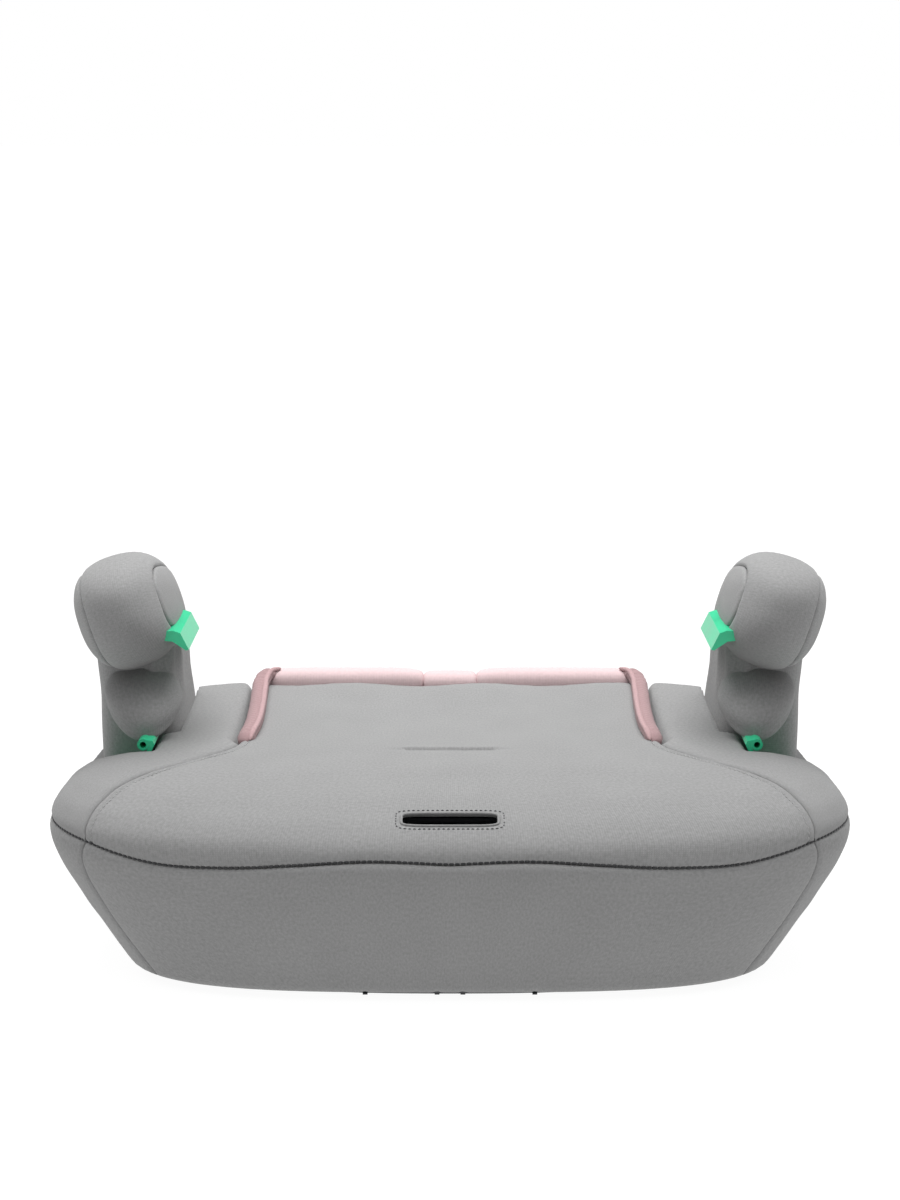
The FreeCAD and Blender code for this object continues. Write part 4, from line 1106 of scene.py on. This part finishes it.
def build_stage():
    """A pale plain floor."""
    mesh = bpy.data.meshes.new("floor")
    corners = [(x * FLOOR_HALF, y * FLOOR_HALF, 0) for x, y in ((-1, -1), (1, -1), (1, 1), (-1, 1))]
    mesh.from_pydata(corners, [], [(0, 1, 2, 3)])
    floor = linked("floor", mesh)
    floor.location.z = -0.0005
    material, _, _ = new_material("floor_paper", (0.12, 0.12, 0.12), 0.95, Specular_IOR_Level=0.0,
                                  Emission_Color=(1.0, 1.0, 1.0, 1.0), Emission_Strength=0.95)
    mesh.materials.append(material)


def build_light():
    """A bright ceiling, a darker ring of room and a white horizon, with one large soft light from above."""
    world = bpy.data.worlds.new("studio")
    bpy.context.scene.world = world
    world.use_nodes = True
    tree = world.node_tree
    direction = add_node(tree, "ShaderNodeTexCoord").outputs["Generated"]
    height = add_node(tree, "ShaderNodeSeparateXYZ", {"Vector": direction}).outputs["Z"]
    ramp = add_node(tree, "ShaderNodeValToRGB", {"Fac": height})
    stops = ramp.color_ramp.elements
    for stop, position in zip(stops, (0.07, 1.0)):
        stop.position = position
        stop.color = (1.0, 1.0, 1.0, 1.0)
    for position, value in SKY:
        stops.new(position).color = (value, value, value, 1.0)
    background = tree.nodes["Background"]
    tree.links.new(ramp.outputs["Color"], background.inputs["Color"])
    background.inputs["Strength"].default_value = 1.0
    softbox = bpy.data.lights.new("key", "AREA")
    softbox.shape = "RECTANGLE"
    softbox.size, softbox.size_y = SOFTBOX_SIZE
    softbox.energy = SOFTBOX_POWER
    key = linked("key", softbox)
    key.location = SOFTBOX_AT
    key.rotation_euler = (math.radians(SOFTBOX_TILT_DEG), 0.0, 0.0)
    bpy.context.scene.view_settings.view_transform = "Standard"


def build_camera():
    """A level-headed view from the front, tilted down onto the seat."""
    data = bpy.data.cameras.new("camera")
    data.lens = CAMERA_LENS
    data.sensor_width = CAMERA_SENSOR
    data.shift_y = CAMERA_SHIFT
    camera = linked("camera", data)
    camera.location = CAMERA_AT
    camera.rotation_euler = (math.radians(90.0 - CAMERA_PITCH_DEG), 0.0, 0.0)
    bpy.context.scene.camera = camera


# ======== putting it together

def wing_stitch_path():
    """The topstitching on the centre panel, beside the wing seam."""
    seam = curve(wing_seam_flat()[:7])(np.linspace(0.0, 1.0, 200))
    ahead = unit(np.gradient(seam, axis=0))
    side = np.column_stack([-ahead[:, 1], ahead[:, 0]])
    return raise_flat(seam + side * TOPSTITCH_OFFSET)


def round_seam_path():
    """The seam that runs round the base under the seat, from one rear corner to the other."""
    angles = np.linspace(REAR_CORNER_ANGLE, -180.0 - REAR_CORNER_ANGLE, 600)
    path = wall_point(np.radians(angles), seam_height(angles))
    inwards = unit(np.column_stack([POLE[0] - path[:, 0], POLE[1] - path[:, 1], np.zeros(len(path))]))
    return path + inwards * SEAM_THREAD_DEPTH


def build_sides(sheets, panel):
    """Builds what there is one of on each side, and hides the CAD nodes that each piece replaces."""
    wing, side, bars, horn, post, bolster, binding, bead = sheets
    grey = ((wing, BASE_FILL, ("cover_wing", "wing_foam")), (side, BASE_FILL, ("cover_side_skirt",)),
            (bars[0], ARMREST_FILL, ("armrest_bar_cover", "armrest_bar_foam")),
            (bars[1], ARMREST_FILL, ()), (bars[2], ARMREST_FILL, ()),
            (horn, ARMREST_FILL, ("armrest_horn_pad",)), (post, POST_FILL, ("armrest_post_cover",)))
    for mirror, hand in ((False, "_left"), (True, "_right")):
        for sheet, fill, nodes in grey:
            piece = dress(sheet.build(mirror), "grey_fabric")
            if nodes:
                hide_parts(*(node + hand for node in nodes))
        binding_piece = dress(binding.build(mirror), "binding")
        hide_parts("edge_binding" + hand)
        # The bead takes the lighter copy of the binding's pink, painted highlight along the fold.
        dress(bead.build(mirror), "bead")
        path = wing_stitch_path() * (MIRROR if mirror else 1.0)
        dress(stitch_line("wing_topstitch" + hand, path, TOPSTITCH, panel), "grey_thread")
        bolster_piece = dress(bolster.build(mirror), "pink_fabric")
        if not mirror:
            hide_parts("rear_bolster_cover", "rear_bolster_foam")


def build_slot_edge(panel):
    """The slot's turned edge, with a sewn border round it."""
    dress(ring_tube("slot_lip", slot_lip(panel), 0.8), "grey_fabric")
    border = slot_ring(SLOT_BORDER, SLOT_POINTS, SLOT_SEARCH_HEIGHT)
    border = np.vstack([border, border[:2]])
    dress(stitch_line("slot_topstitch", border, BORDER_STITCH, panel), "border_thread")


def main():
    build_stage()
    build_light()
    build_camera()
    paint_cad()
    centre = centre_panel()
    wing = wing_panel()
    front, side = skirts()
    bars = bar_sheets()
    horn = horn_sheet()
    post = post_sheet()
    bolsters = bolster_sheets()
    binding = binding_sheet("hip_binding_left", np.zeros(3), *BINDING_HALF)
    bead = binding_sheet("hip_binding_bead_left", BEAD_SHIFT, *BEAD_HALF)
    soft = [centre, wing, front, side, *bars, horn, post, *bolsters]
    inflate(soft)
    panel = dress(centre.build(), "grey_fabric")
    cut_slot(panel)
    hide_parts("cover_top_panel", "seat_foam")
    front_piece = dress(front.build(), "grey_fabric")
    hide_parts("cover_front_skirt", "skirt_foam")
    build_sides((wing, side, bars, horn, post, bolsters[0], binding, bead), panel)
    dress(bolsters[1].build(), "pink_fabric")
    build_slot_edge(panel)
    # The rim seam's stitches, thick and nearly touching in near-black thread, sunk into the groove: stitches
    # with painted shade of the crease.
    seam_thread = stitch_line("round_seam_thread", round_seam_path(), RIM_STITCH)
    dress(seam_thread, "seam_shade_thread")


main()
